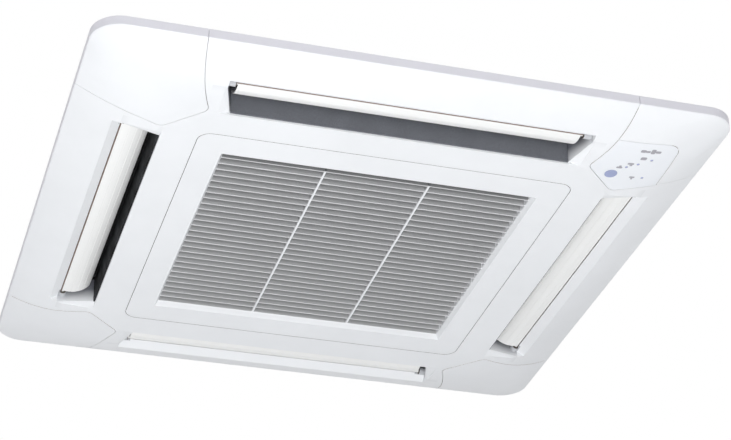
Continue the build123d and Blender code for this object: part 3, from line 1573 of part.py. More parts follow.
with BuildPart() as cable_grommet:
    with BuildPart(mode=Mode.PRIVATE) as ring:
        lip_d = grommet_d + 2 * grommet_lip
        inside, outside = body_half - grommet_depth, body_half + grommet_lip
        add(out_rod("right", grommet_at, grommet_d - grommet_play, inside, outside))
        add(out_rod("right", grommet_at, lip_d, body_half + slip, outside))
        add(out_rod("right", grommet_at, lip_d, inside, body_half - sheet - slip))
        bore = out_rod("right", grommet_at, grommet_d - 2 * grommet_wall, inside - past, outside + past)
        add(bore, mode=Mode.SUBTRACT)
    add(ring.part)
save(cable_grommet.part, "cable_grommet")

# ---------------------------------------------------------------- control box
with BuildPart() as control_box:
    add(slab((box_inner, box_outer), (-box_half, box_half), (box_bottom, box_top)))
    add(
        slab(
            (box_inner + box_wall, box_outer - box_wall),
            (-box_half + box_wall, box_half - box_wall),
            (box_bottom - bite, box_top - box_wall),
        ),
        mode=Mode.SUBTRACT,
    )
    for start in (-box_half + box_lip_in, box_half - box_lip_in - box_lip):
        along = (start, start + box_lip)
        across = (box_inner + box_lip_in, box_outer - box_lip_in)
        add(slab(across, along, (box_bottom, box_bottom + box_wall)))
    for spot in box_screws:
        bore = upright(spot, box_screw_d + 2 * slip, box_bottom - past, box_bottom + past)
        add(bore, mode=Mode.SUBTRACT)
save(control_box.part, "control_box")

box_middle = (box_inner + box_outer) / 2
with BuildPart() as control_board:
    z = box_top - box_wall - slip - main_board_hang
    across = (box_inner + main_board_edge, box_outer - main_board_edge)
    add(slab(across, main_board_span, (z - board_thickness, z)))
    for x in (box_inner + main_post_edge[0], box_outer - main_post_edge[0]):
        for y in (main_board_span[0] + main_post_edge[1], main_board_span[1] - main_post_edge[1]):
            add(upright((x, y), main_post_d, z - bite, z + main_board_hang))
    for x, y, diameter in capacitors:
        add(upright((x, y), diameter, z - capacitor_drop, z - bite))
    for x, y in relays:
        add(slab((x, x + relay_size[0]), (y, y + relay_size[1]), (z - relay_drop, z - bite)))
    add(slab(*chip_area, (z - chip_drop, z - bite)))
save(control_board.part, "control_board")

with BuildPart() as terminal_block:
    z = box_top - box_wall - slip
    under = z - terminal_height
    across = (box_inner + terminal_edge, box_outer - terminal_edge)
    add(slab(across, terminal_span, (under, z)))
    for row in range(terminal_rows):
        y = terminal_start + row * terminal_pitch
        for x in (box_middle - terminal_apart, box_middle + terminal_apart):
            add(upright((x, y), terminal_screw_d, under - bite, under + terminal_height / 2 + bite),
                mode=Mode.SUBTRACT)
    for row in range(1, terminal_rows):
        y = terminal_start + (row - 0.5) * terminal_pitch
        web = (y - terminal_web, y + terminal_web)
        add(slab(across, web, (under - terminal_web_drop, under + bite)))
save(terminal_block.part, "terminal_block")

with BuildPart() as control_box_cover:
    top = box_bottom - slip
    add(slab((box_inner, box_outer), (-box_half, box_half), (top - box_wall, top)))
    for spot in box_screws:
        add(upright(spot, box_screw_d + 2 * slip, top - past, top + bite), mode=Mode.SUBTRACT)
save(control_box_cover.part, "control_box_cover")

with BuildPart() as control_box_screws:
    for spot in box_screws:
        head = top - box_wall - slip
        add(upright(spot, box_screw_d, top - box_wall - bite, box_bottom + box_screw_grip))
        add(upright(spot, 2 * box_screw_d, head - box_screw_head, head))
save(control_box_screws.part, "control_box_screws")
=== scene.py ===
import bpy
import math
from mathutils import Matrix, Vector


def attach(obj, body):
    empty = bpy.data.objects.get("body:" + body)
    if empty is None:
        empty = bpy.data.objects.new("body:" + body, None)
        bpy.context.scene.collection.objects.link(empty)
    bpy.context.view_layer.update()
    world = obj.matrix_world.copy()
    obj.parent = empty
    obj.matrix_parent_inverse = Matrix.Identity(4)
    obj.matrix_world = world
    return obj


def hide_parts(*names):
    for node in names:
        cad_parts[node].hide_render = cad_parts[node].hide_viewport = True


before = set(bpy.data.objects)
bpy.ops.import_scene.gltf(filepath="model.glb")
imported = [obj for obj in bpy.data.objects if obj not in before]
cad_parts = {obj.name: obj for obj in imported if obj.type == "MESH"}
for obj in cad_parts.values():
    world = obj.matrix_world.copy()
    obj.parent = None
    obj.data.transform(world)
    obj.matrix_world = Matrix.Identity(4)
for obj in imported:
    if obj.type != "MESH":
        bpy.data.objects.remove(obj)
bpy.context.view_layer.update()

# ---------------------------------------------------------------- fascia
# One large moulding of satin white ABS, 950 mm square, with the four outlets, the well for the
# grille and the sunk ledges under the corner covers. It hangs on four screws in the corners.
MERGED_WITHIN = 0.00002     # points of the CAD mesh closer than this are one point, in metres
FLAT_WITHIN = 0.4           # faces that differ by less than this are one flat, in degrees
EASED_ABOVE = 38.0          # edges sharper than this get an easing, in degrees
NOISE_REACH = (0.3, 0.7)    # nearly all values of a noise lie between these

WHITE = (0.885, 0.893, 0.908)
# cool grey painted as shade on the upright rim
RIM_PAINTED_SHADE = (0.70, 0.69, 0.735)
# dark grey painted as shade deep in the outlets
OUTLET_SHADE_TONE = (0.16, 0.165, 0.19)
SEAM_TONE = (0.11, 0.078, 0.064)

# Places are in metres: heights from the ceiling, less than 0 below it, and the others from the
# middle of the unit. Walls are given by the upward part of the normal, from no dust to full.
RIM_HEIGHTS = (-0.0150, -0.0125)
OUTLET_ACROSS = (0.336, 0.401)
OUTLET_ENDS = (0.2545, 0.295)
OUTLET_SHADE_HEIGHTS = (-0.0415, -0.018)
WELL_JOINT = (0.262, 0.2915)
WELL_JOINT_HEIGHTS = (-0.0456, -0.0420)
EASED_WALLS = (0.985, 0.93)


def take_form(node, piece, body, edge=0.0, smooth=32.0):
    """New mesh with the form of a CAD node: doubles merged, flats made whole, edges eased."""
    bpy.ops.object.select_all(action="DESELECT")
    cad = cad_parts[node]
    cad.select_set(True)
    bpy.context.view_layer.objects.active = cad
    bpy.ops.object.duplicate()
    made = bpy.context.object
    made.name = piece
    made.data.name = piece
    for key in list(made.keys()):
        del made[key]
    made.parent = None
    bpy.ops.object.mode_set(mode="EDIT")
    bpy.ops.mesh.select_all(action="SELECT")
    bpy.ops.mesh.customdata_custom_splitnormals_clear()
    bpy.ops.mesh.remove_doubles(threshold=MERGED_WITHIN)
    bpy.ops.mesh.dissolve_limited(angle_limit=math.radians(FLAT_WITHIN))
    bpy.ops.object.mode_set(mode="OBJECT")
    if edge:
        easing = made.modifiers.new("eased_edges", "BEVEL")
        easing.width = edge
        easing.segments = 2
        easing.limit_method = "ANGLE"
        easing.angle_limit = math.radians(EASED_ABOVE)
        bpy.ops.object.modifier_apply(modifier="eased_edges")
    bpy.ops.object.shade_smooth_by_angle(angle=math.radians(smooth))
    flats = made.modifiers.new("true_flats", "WEIGHTED_NORMAL")
    flats.keep_sharp = True
    bpy.ops.object.modifier_apply(modifier="true_flats")
    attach(made, body)
    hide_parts(node)
    return made


def clad(thing, material):
    """Puts one material on every slot of a piece, or of a CAD node given by its name."""
    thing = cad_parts[thing] if isinstance(thing, str) else thing
    if not thing.material_slots:
        thing.data.materials.append(material)
    for slot in thing.material_slots:
        slot.material = material


class Recipe:
    """Node tree of one material, written as a short list of steps."""

    def __init__(self, name):
        self.material = bpy.data.materials.new(name)
        self.material.use_nodes = True
        self.tree = self.material.node_tree
        self.shader = self.tree.nodes["Principled BSDF"]
        coordinates = self.tree.nodes.new("ShaderNodeTexCoord")
        self.place = coordinates.outputs["Object"]
        self.normal = coordinates.outputs["Normal"]

    def feed(self, value, socket):
        """Gives a socket a link, a colour or a number."""
        if isinstance(value, bpy.types.NodeSocket):
            self.tree.links.new(value, socket)
        elif isinstance(value, tuple):
            socket.default_value = (*value, 1.0)
        else:
            socket.default_value = value

    def noise(self, scale, detail=2.0, roughness=0.5):
        node = self.tree.nodes.new("ShaderNodeTexNoise")
        self.feed(self.place, node.inputs["Vector"])
        node.inputs["Scale"].default_value = scale
        node.inputs["Detail"].default_value = detail
        node.inputs["Roughness"].default_value = roughness
        return node.outputs["Fac"]

    def mottle(self, scale, detail=2.0, roughness=0.5, low=0.0, high=1.0):
        """Noise spread over the range from low to high."""
        return self.between(self.noise(scale, detail, roughness), *NOISE_REACH, low, high)

    def cells(self, scale, feature="F1", output="Distance", randomness=1.0):
        node = self.tree.nodes.new("ShaderNodeTexVoronoi")
        node.feature = feature
        self.feed(self.place, node.inputs["Vector"])
        node.inputs["Scale"].default_value = scale
        node.inputs["Randomness"].default_value = randomness
        return node.outputs[output]

    def axis(self, letter, at=None):
        node = self.tree.nodes.new("ShaderNodeSeparateXYZ")
        self.feed(at or self.place, node.inputs[0])
        return node.outputs[letter]

    def between(self, value, low, high, out_low=0.0, out_high=1.0):
        node = self.tree.nodes.new("ShaderNodeMapRange")
        self.feed(value, node.inputs["Value"])
        limits = {"From Min": low, "From Max": high, "To Min": out_low, "To Max": out_high}
        for limit, number in limits.items():
            node.inputs[limit].default_value = number
        return node.outputs["Result"]

    def math(self, operation, first, second=0.0):
        node = self.tree.nodes.new("ShaderNodeMath")
        node.operation = operation
        self.feed(first, node.inputs[0])
        self.feed(second, node.inputs[1])
        return node.outputs[0]

    def blend(self, share, first, second):
        """Mixes two colours. Sockets 6 and 7, and output 2, are a Mix node's colour ones."""
        node = self.tree.nodes.new("ShaderNodeMix")
        node.data_type = "RGBA"
        self.feed(share, node.inputs[0])
        self.feed(first, node.inputs[6])
        self.feed(second, node.inputs[7])
        return node.outputs[2]

    def relief(self, height, depth, strength, over=None):
        node = self.tree.nodes.new("ShaderNodeBump")
        node.inputs["Strength"].default_value = strength
        node.inputs["Distance"].default_value = depth
        self.feed(height, node.inputs["Height"])
        if over is not None:
            self.feed(over, node.inputs["Normal"])
        return node.outputs["Normal"]

    def into(self, socket, value):
        self.feed(value, self.shader.inputs[socket])


def shade(colour, factor):
    return tuple(channel * factor for channel in colour)


def moulded(name, colour, rough=0.42, drift=0.03, touch=None):
    """Moulded plastic: faint flow marks in its colour, a fine eroded grain on its skin."""
    recipe = Recipe(name)
    flow = recipe.mottle(7.0, detail=4.0, roughness=0.6)
    tone = recipe.blend(flow, shade(colour, 1 - drift), shade(colour, 1 + drift * 0.4))
    if touch:
        tone = touch(recipe, tone)
    sheen = recipe.mottle(260.0, detail=3.0, low=rough - 0.05, high=rough + 0.06)
    waves = recipe.relief(recipe.noise(16.0, detail=1.0), 0.0004, 0.25)
    grain = recipe.relief(recipe.noise(1900.0), 0.00003, 0.5, over=waves)
    recipe.into("Base Color", tone)
    recipe.into("Roughness", sheen)
    recipe.into("Normal", grain)
    recipe.into("Specular IOR Level", 0.35)
    return recipe.material


def steep(recipe, start, full):
    """0 on faces that lie flat and 1 on those that stand, by the upward part of the normal."""
    return recipe.between(recipe.math("ABSOLUTE", recipe.axis("Z", at=recipe.normal)), start, full)


def farther(recipe, operation="MAXIMUM"):
    """Distance from the middle, along X or Y, whichever is more, or less with MINIMUM."""
    return recipe.math(operation, recipe.math("ABSOLUTE", recipe.axis("X")),
                       recipe.math("ABSOLUTE", recipe.axis("Y")))


def within(recipe, value, low, high, soft=0.0005):
    """1 where a value lies between two limits."""
    return recipe.math("MULTIPLY", recipe.between(value, low, low + soft),
                       recipe.between(value, high, high - soft))


def joint_dust(recipe, tone, band, heights, walls=EASED_WALLS, colour=SEAM_TONE):
    """Dust on the walls and eased edges of a joint, in a square band round the middle."""
    share = recipe.math("MULTIPLY", steep(recipe, *walls), within(recipe, farther(recipe), *band))
    share = recipe.math("MULTIPLY", share, within(recipe, recipe.axis("Z"), *heights))
    return recipe.blend(share, tone, colour)


def painted_rim_shade(recipe, tone):
    """Painted shade, a cool grey, on the upright rim that fascia and corner covers share."""
    return recipe.blend(recipe.between(recipe.axis("Z"), *RIM_HEIGHTS), tone, RIM_PAINTED_SHADE)


def painted_outlet_shade(recipe, tone):
    """Painted shade on the end walls and bearing bosses of the outlets, darker the deeper they
    lie.
    """
    place = recipe.math("MULTIPLY", within(recipe, farther(recipe), *OUTLET_ACROSS),
                        within(recipe, farther(recipe, "MINIMUM"), *OUTLET_ENDS))
    share = recipe.math("MULTIPLY", place, recipe.between(recipe.axis("Z"), *OUTLET_SHADE_HEIGHTS))
    return recipe.blend(share, tone, OUTLET_SHADE_TONE)


def panel_touch(recipe, tone):
    """Painted shade on the rim and in the outlets, and dust in the joint round the grille."""
    tone = painted_outlet_shade(recipe, painted_rim_shade(recipe, tone))
    return joint_dust(recipe, tone, WELL_JOINT, WELL_JOINT_HEIGHTS)


fascia = take_form("fascia", "fascia_moulding", "unit", edge=0.0004)
clad(fascia, moulded("satin_white_abs", WHITE, touch=panel_touch))

# ---------------------------------------------------------------- outlet liners and seals
# Slate-grey closed-cell foam, glued to the inner wall of each outlet and round the duct mouths.
# It keeps the cold air off the moulding, so that no water settles on it.
SLATE = (0.148, 0.154, 0.172)
# painted shade: the foam is painted near black in the left and right outlets
SIDE_SHADE_SHARE = 0.012          # how much of its tone the foam keeps in the left and right outlets
FOAM_CELL = 0.0018


def cell_foam(name, colour):
    """Closed-cell foam: small round cells with lighter walls, with painted shade that makes it
    near black in the side outlets.
    """
    recipe = Recipe(name)
    walls = recipe.cells(1.0 / FOAM_CELL, feature="DISTANCE_TO_EDGE")
    tone = recipe.blend(recipe.between(walls, 0.0, 0.25), shade(colour, 1.25), shade(colour, 0.92))
    to_side = recipe.math("SUBTRACT", recipe.math("ABSOLUTE", recipe.axis("X")),
                          recipe.math("ABSOLUTE", recipe.axis("Y")))
    tone = recipe.blend(recipe.between(to_side, 0.0, 0.02), tone, shade(colour, SIDE_SHADE_SHARE))
    blotch = recipe.between(recipe.noise(30.0, detail=3.0), 0.35, 0.7, 0.0, 0.35)
    recipe.into("Base Color", recipe.blend(blotch, tone, shade(colour, 0.8)))
    recipe.into("Roughness", 0.9)
    recipe.into("Normal", recipe.relief(walls, 0.0003, 0.6))
    recipe.into("Specular IOR Level", 0.2)
    return recipe.material


grey_foam = cell_foam("slate_cell_foam", SLATE)
for node in ("outlet_liners", "outlet_seals"):
    clad(node, grey_foam)

# ---------------------------------------------------------------- louvres
# One curved blade of warm white ABS in each outlet, with three fine grooves along it. It turns
# on a pin at each end, in dark bushes, and a stepping motor drives one of the pins.
SIDES = ("near", "right", "far", "left")
WARM_WHITE = (0.93, 0.925, 0.91)
# a dark line painted as shadow along the outer edge of each blade
BLADE_EDGE = (0.3942, 0.3948)
BLADE_WALLS = (0.97, 0.85)


def blade_edge_shadow(recipe, tone):
    """Painted shadow: a dark line along the outer edge of each blade, where it lies against the
    flare.
    """
    at_edge = recipe.between(farther(recipe), *BLADE_EDGE)
    share = recipe.math("MULTIPLY", steep(recipe, *BLADE_WALLS), at_edge)
    return recipe.blend(share, tone, shade(SEAM_TONE, 2.0))


blade_white = moulded("warm_white_abs", WARM_WHITE, rough=0.38, drift=0.01, touch=blade_edge_shadow)
for side in SIDES:
    blade = take_form(f"louvre_{side}", f"louvre_blade_{side}", f"louvre_{side}",
                      edge=0.0004, smooth=40.0)
    clad(blade, blade_white)
clad("louvre_bushes", moulded("bearing_grey_abs", (0.10, 0.085, 0.075), rough=0.5, drift=0.1))


def plated(name, colour, rough, spangle=0.0):
    """Zinc-coated steel: patches and a fine tooth, and spangles of that width on dipped sheet."""
    recipe = Recipe(name)
    patches = recipe.mottle(22.0, detail=4.0)
    tone = recipe.blend(patches, shade(colour, 0.92), shade(colour, 1.08))
    roughness = recipe.mottle(240.0, low=rough - 0.07, high=rough + 0.09)
    normal = recipe.relief(recipe.noise(700.0), 0.00002, 0.4)
    if spangle:
        level = recipe.axis("X", at=recipe.cells(1.0 / spangle, output="Color"))
        tone = recipe.blend(recipe.between(level, 0.0, 1.0, 0.0, 0.55), tone, shade(colour, 0.78))
        roughness = recipe.math("ADD", roughness, recipe.between(level, 0.0, 1.0, -0.06, 0.1))
        edges = recipe.cells(1.0 / spangle, feature="DISTANCE_TO_EDGE")
        normal = recipe.relief(recipe.between(edges, 0.0, 0.06), 0.00002, 0.35, over=normal)
    recipe.into("Base Color", tone)
    recipe.into("Metallic", 1.0)
    recipe.into("Roughness", roughness)
    recipe.into("Normal", normal)
    return recipe.material


zinc = plated("zinc_plated_steel", (0.62, 0.62, 0.60), rough=0.3)
clad("louvre_motors", plated("motor_can_zinc", (0.55, 0.56, 0.57), rough=0.33))
clad("motor_screws", zinc)

# ---------------------------------------------------------------- corner covers
# A thin cover of the same white ABS over each corner, clipped on, flush with the fascia. Each
# hides the screw that holds the fascia up.
FAINT_SEAM = (0.34, 0.27, 0.23)
COVER_BAND = (0.285, 0.470)
COVER_HEIGHTS = (-0.0450, -0.016)
UPRIGHT_WALLS = (0.5, 0.3)


def faint_dust(recipe, tone, band):
    """Faint dust on the upright walls round a corner cover, or round a piece set in one."""
    return joint_dust(recipe, tone, band, COVER_HEIGHTS, walls=UPRIGHT_WALLS, colour=FAINT_SEAM)


def cover_touch(recipe, tone):
    """The painted shade on the rim, as on the fascia, and dust in the joints of the covers."""
    return faint_dust(recipe, painted_rim_shade(recipe, tone), COVER_BAND)


cover_white = moulded("cover_white_abs", WHITE, touch=cover_touch)
for side in SIDES:
    cover = take_form(f"corner_cover_{side}", f"corner_cap_{side}", f"corner_cover_{side}",
                      edge=0.0004)
    clad(cover, cover_white)

# ---------------------------------------------------------------- receiver window
# Satin white window over the receiver board, in the corner cover with +X and -Y, with plain
# printed marks beside the lamps and a round push button.
WINDOW_WHITE = (0.885, 0.90, 0.93)
WINDOW_BAND = (0.285, 0.4106)
PRINT = (0.40, 0.385, 0.42)
PRINT_EDGE = (1.3, 0.8)
MARKS = (                   # X and Y of the middle of each mark, and half its width and length
    (0.3345, -0.3495, 0.0046, 0.0021),
    (0.3350, -0.3530, 0.0020, 0.0016),
    (0.3485, -0.3610, 0.0050, 0.0023),
    (0.3500, -0.3572, 0.0022, 0.0014),
    (0.3630, -0.3760, 0.0048, 0.0034),
    (0.3635, -0.3280, 0.0042, 0.0020),
    (0.3640, -0.3240, 0.0018, 0.0016),
    (0.3560, -0.3930, 0.0042, 0.0030),
    (0.3635, -0.3925, 0.0036, 0.0022),
    (0.3715, -0.3935, 0.0036, 0.0052),
    (0.3795, -0.3930, 0.0044, 0.0026),
)


def print_touch(recipe, tone):
    """Small printed spots and bars with rounded corners, and dust in the window's joint."""
    inked = None
    for mark_x, mark_y, half_x, half_y in MARKS:
        reach = []
        for letter, middle, half in (("X", mark_x, half_x), ("Y", mark_y, half_y)):
            off = recipe.math("DIVIDE", recipe.math("SUBTRACT", recipe.axis(letter), middle), half)
            reach.append(recipe.math("POWER", recipe.math("ABSOLUTE", off), 4.0))
        spot = recipe.between(recipe.math("ADD", *reach), *PRINT_EDGE)
        inked = spot if inked is None else recipe.math("MAXIMUM", inked, spot)
    return faint_dust(recipe, recipe.blend(inked, tone, PRINT), WINDOW_BAND)


window = take_form("receiver_window", "receiver_pane", "corner_cover_near", edge=0.0003)
clad(window, moulded("printed_window_abs", WINDOW_WHITE, rough=0.33, drift=0.02,
                     touch=print_touch))
lamps = take_form("indicator_lamps", "indicator_lenses", "corner_cover_near", edge=0.0003)
clad(lamps, moulded("lavender_lens", (0.42, 0.45, 0.68), rough=0.22, drift=0.05))
button = take_form("emergency_button", "push_button", "emergency_button", edge=0.0005)
clad(button, moulded("lavender_button", (0.36, 0.40, 0.60), rough=0.4, drift=0.05))


def circuit(name):
    """Green board: solder mask with copper tracks under it and pale solder spots."""
    recipe = Recipe(name)
    tracks = recipe.cells(420.0, feature="DISTANCE_TO_EDGE", randomness=0.35)
    bare, tracked, solder = (0.06, 0.22, 0.10), (0.02, 0.12, 0.05), (0.6, 0.6, 0.58)
    green = recipe.blend(recipe.between(tracks, 0.03, 0.05), bare, tracked)
    spots = recipe.between(recipe.cells(230.0, randomness=0.6), 0.14, 0.11)
    recipe.into("Base Color", recipe.blend(spots, green, solder))
    recipe.into("Roughness", recipe.between(tracks, 0.03, 0.05, 0.25, 0.4))
    recipe.into("Normal", recipe.relief(tracks, 0.00005, 0.5))
    return recipe.material


board_green = circuit("solder_mask_board")
clad("receiver_board", board_green)

# ---------------------------------------------------------------- intake grille
# White ABS grille in the well, with a bevelled lip round its slats and two ribs across them. It
# swings down on two pins at the far edge, and two push latches hold the near edge.
GRILLE_BAND = (0.262, 0.2885)
SLATTED_HALF = {"X": 0.2397, "Y": 0.2337}       # half the width and length of the slatted part
SLATTED_SOFT = 0.0004
# the slats' greys are painted shade, lighter at their lower edge and darker deep between them
SLAT_LOW_SHADE = (0.66, 0.66, 0.665)
SLAT_DEEP_SHADE = (0.30, 0.30, 0.305)
SLAT_HEIGHTS = (-0.0371, -0.0270)
SLATS_SET_IN = (-0.0377, -0.0373)
RIBS_AT = 0.081             # distance of each rib from the middle
RIB_EDGE = (0.0019, 0.0015)
RIB_HEIGHTS = (-0.0331, -0.0361)
FIRST_SLAT = (-0.2175, -0.2195)     # the slat next to the near lip lies in its shade
# near black painted as the near lip's shadow on its first slat
FIRST_SLAT_SHADOW = (0.085, 0.086, 0.09)


def slat_shade_and_dust(recipe, tone):
    """Painted shade on the slats, greyer the deeper they lie, painted shadow on the slat next to
    the near lip, and dust in the joint.
    """
    height = recipe.axis("Z")
    inside = recipe.between(height, *SLATS_SET_IN)
    for letter, half in SLATTED_HALF.items():
        off = recipe.math("ABSOLUTE", recipe.axis(letter))
        inside = recipe.math("MULTIPLY", inside, recipe.between(off, half, half - SLATTED_SOFT))
    off_rib = recipe.math("SUBTRACT", recipe.math("ABSOLUTE", recipe.axis("X")), RIBS_AT)
    rib = recipe.math("MULTIPLY", recipe.between(recipe.math("ABSOLUTE", off_rib), *RIB_EDGE),
                      recipe.between(height, *RIB_HEIGHTS))
    slats = recipe.blend(recipe.between(height, *SLAT_HEIGHTS), SLAT_LOW_SHADE, SLAT_DEEP_SHADE)
    slats = recipe.blend(rib, slats, tone)
    slats = recipe.blend(recipe.between(recipe.axis("Y"), *FIRST_SLAT), slats, FIRST_SLAT_SHADOW)
    tone = recipe.blend(inside, tone, slats)
    return joint_dust(recipe, tone, GRILLE_BAND, WELL_JOINT_HEIGHTS)


grille = take_form("intake_grille", "intake_grille_moulding", "intake_grille", edge=0.0005)
clad(grille, moulded("grille_white_abs", WHITE, touch=slat_shade_and_dust))
clad("grille_hinge_pins", zinc)
dark_plastic = moulded("black_moulding", (0.035, 0.036, 0.04), rough=0.48, drift=0.15)
clad("latch_bodies", dark_plastic)
nylon = moulded("natural_nylon", (0.72, 0.70, 0.62), rough=0.5, drift=0.06)
for node in ("latch_plunger_left", "latch_plunger_right"):
    clad(node, nylon)

# ---------------------------------------------------------------- filter
# Black moulded frame with a woven net, laid on the back of the grille. It lifts out for washing.
# The net is one thin sheet, and its weave is in the material.
NET_PITCH = 0.0016
NET_GAP = (0.012, 0.013, 0.015)
NET_THREAD = (0.13, 0.14, 0.155)
NET_DUST = (0.16, 0.155, 0.15)


def woven_net(name):
    """Fine net of round threads, woven square."""
    recipe = Recipe(name)
    waves = []
    for letter in ("X", "Y"):
        turns = recipe.math("MULTIPLY", recipe.axis(letter), math.pi / NET_PITCH)
        waves.append(recipe.math("ABSOLUTE", recipe.math("SINE", turns)))
    thread = recipe.between(recipe.math("MINIMUM", *waves), 0.35, 0.7, 1.0, 0.0)
    dust = recipe.between(recipe.noise(18.0, detail=4.0), 0.5, 0.8, 0.0, 0.25)
    tone = recipe.blend(thread, NET_GAP, NET_THREAD)
    recipe.into("Base Color", recipe.blend(dust, tone, NET_DUST))
    recipe.into("Roughness", 0.75)
    recipe.into("Normal", recipe.relief(thread, 0.0004, 0.8))
    return recipe.material


clad("filter_frame", dark_plastic)
clad("filter_mesh", woven_net("filter_net_weave"))

# ---------------------------------------------------------------- cabinet
# Eight-sided box of galvanised sheet with a pressed lid, lined with white bead foam. The drain
# pan closes it below: dark bead foam with the four outlet ducts and the trough under the coil.
BEAD = 0.0042
galvanised = plated("galvanised_sheet", (0.64, 0.66, 0.68), rough=0.38, spangle=0.012)
for node, piece in (("cabinet_sides", "cabinet_shell"), ("cabinet_top", "cabinet_lid")):
    shell = take_form(node, piece, "unit", edge=0.0004)
    clad(shell, galvanised)
for node in ("cabinet_screws", "panel_screws"):
    clad(node, zinc)


def bead_foam(name, colour):
    """Expanded bead foam: swollen beads pressed against each other."""
    recipe = Recipe(name)
    seams = recipe.cells(1.0 / BEAD, feature="DISTANCE_TO_EDGE", randomness=0.8)
    tint = recipe.axis("X", at=recipe.cells(1.0 / BEAD, output="Color", randomness=0.8))
    tone = recipe.blend(recipe.between(tint, 0.0, 1.0, 0.0, 0.5), colour, shade(colour, 0.9))
    in_seam = recipe.between(seams, 0.0, 0.09, 0.6, 0.0)
    recipe.into("Base Color", recipe.blend(in_seam, tone, shade(colour, 0.72)))
    recipe.into("Roughness", recipe.between(tint, 0.0, 1.0, 0.62, 0.8))
    recipe.into("Normal", recipe.relief(recipe.between(seams, 0.0, 0.3), 0.0004, 0.5))
    return recipe.material


clad("cabinet_liner", bead_foam("white_bead_foam", (0.80, 0.80, 0.78)))
clad("drain_pan", bead_foam("dark_bead_foam", (0.045, 0.046, 0.05)))

# ---------------------------------------------------------------- air path
# Black bell mouth screwed under the pan, a one-piece turbo fan above it with backward-curved
# blades between shroud and hub plate, and a square ring of finned coil round the fan.
FIN_PITCH = 0.0018
# near black painted as shade in the gaps between the fins
FIN_GAP_SHADE = (0.10, 0.105, 0.11)
FIN_EDGE = (0.78, 0.80, 0.82)
FIN_DENT = (0.5, 0.51, 0.53)

bell = take_form("bell_mouth", "bell_mouth_ring", "unit", smooth=40.0)
clad(bell, dark_plastic)
wheel = take_form("turbo_fan", "turbo_fan_wheel", "fan", edge=0.0003, smooth=40.0)
clad(wheel, moulded("fan_moulding", (0.62, 0.63, 0.62), rough=0.5, drift=0.06))
for node in ("bell_mouth_screws", "fan_shaft"):
    clad(node, zinc)


def copper_like(name, colour, tarnish):
    """Drawn copper or turned brass: fine tool marks and patches of tarnish."""
    recipe = Recipe(name)
    stain = recipe.noise(38.0, detail=5.0, roughness=0.6)
    tarnished = recipe.between(stain, 0.52, 0.75, 0.0, 0.6)
    recipe.into("Base Color", recipe.blend(tarnished, colour, tarnish))
    recipe.into("Metallic", 1.0)
    recipe.into("Roughness", recipe.between(stain, 0.3, 0.8, 0.28, 0.53))
    recipe.into("Normal", recipe.relief(recipe.noise(420.0), 0.00003, 0.4))
    return recipe.material


brass = copper_like("turned_brass", (0.72, 0.56, 0.27), tarnish=(0.42, 0.30, 0.13))
copper = copper_like("drawn_copper", (0.78, 0.42, 0.27), tarnish=(0.30, 0.16, 0.09))
clad("fan_nut", brass)


def finned(name):
    """Edge of a stack of thin aluminium fins, dented here and there, with painted shade in the
    gaps between them.
    """
    recipe = Recipe(name)
    corner = recipe.math("ADD", recipe.axis("X"), recipe.axis("Y"))
    turns = recipe.math("MULTIPLY", corner, 2 * math.pi / FIN_PITCH)
    edge = recipe.between(recipe.math("SINE", turns), -0.2, 0.8)
    dents = recipe.between(recipe.noise(55.0, detail=3.0), 0.55, 0.75, 0.0, 0.4)
    tone = recipe.blend(edge, FIN_GAP_SHADE, FIN_EDGE)
    recipe.into("Base Color", recipe.blend(dents, tone, FIN_DENT))
    recipe.into("Metallic", 0.9)
    recipe.into("Roughness", 0.4)
    recipe.into("Normal", recipe.relief(edge, 0.0005, 0.6))
    return recipe.material


clad("heat_exchanger", finned("fin_stack"))
clad("coil_end_plates", galvanised)
clad("coil_bends", copper)

# ---------------------------------------------------------------- fan motor
# Dark enamelled motor hung under the lid on a steel bracket, with three rubber bushes and three
# nuts, so that its hum doesn't reach the cabinet.


def enamel(name, colour, rough=0.4):
    """Baked enamel: slight orange peel under a thin clear coat."""
    recipe = Recipe(name)
    drift = recipe.mottle(12.0, detail=3.0)
    peel = recipe.noise(330.0, detail=1.0)
    sheen = recipe.between(peel, *NOISE_REACH, rough - 0.06, rough + 0.08)
    recipe.into("Base Color", recipe.blend(drift, shade(colour, 0.85), shade(colour, 1.15)))
    recipe.into("Roughness", sheen)
    recipe.into("Normal", recipe.relief(peel, 0.0001, 0.3))
    recipe.into("Coat Weight", 0.25)
    return recipe.material


clad("fan_motor", enamel("motor_enamel", (0.055, 0.06, 0.065)))
rubber = moulded("black_rubber", (0.02, 0.02, 0.021), rough=0.7, drift=0.2)
clad("motor_bushes", rubber)
clad("motor_bracket", galvanised)
clad("motor_nuts", zinc)

# ---------------------------------------------------------------- pipes and drain
# Copper stubs with brass flare nuts for the refrigerant, on the far side. A lift pump in the
# open corner of the coil sends the water through a hose to the socket on the right side.
for node, piece in (("gas_pipe", "gas_line_stub"), ("liquid_pipe", "liquid_line_stub")):
    pipe = take_form(node, piece, "unit", smooth=45.0)
    clad(pipe, copper)
hose = take_form("drain_hose", "drain_lift_hose", "unit", smooth=45.0)
clad(hose, moulded("pale_hose", (0.62, 0.64, 0.66), rough=0.45))
socket = take_form("drain_socket", "drain_outlet", "unit", edge=0.0004, smooth=40.0)
clad(socket, moulded("drain_abs", (0.66, 0.66, 0.62)))
clad("flare_nuts", brass)
clad("pipe_plate", galvanised)
clad("drain_pump", dark_plastic)
clad("float_switch", nylon)

# ---------------------------------------------------------------- hangers and grommet
# Bent steel brackets on the four cut corners, each with a slot for a hanging rod, and a rubber
# grommet where the supply comes in.
hangers = take_form("hanger_brackets", "hanger_plates", "unit", edge=0.0005)
clad(hangers, galvanised)
clad("cable_grommet", rubber)

# ---------------------------------------------------------------- control box
# Small sheet-steel box under the pan, inside the well, with a screwed cover. It holds the board
# and the terminals for the supply.
for node in ("control_box", "control_box_cover"):
    clad(node, galvanised)
clad("control_box_screws", zinc)
clad("control_board", board_green)
clad("terminal_block", nylon)

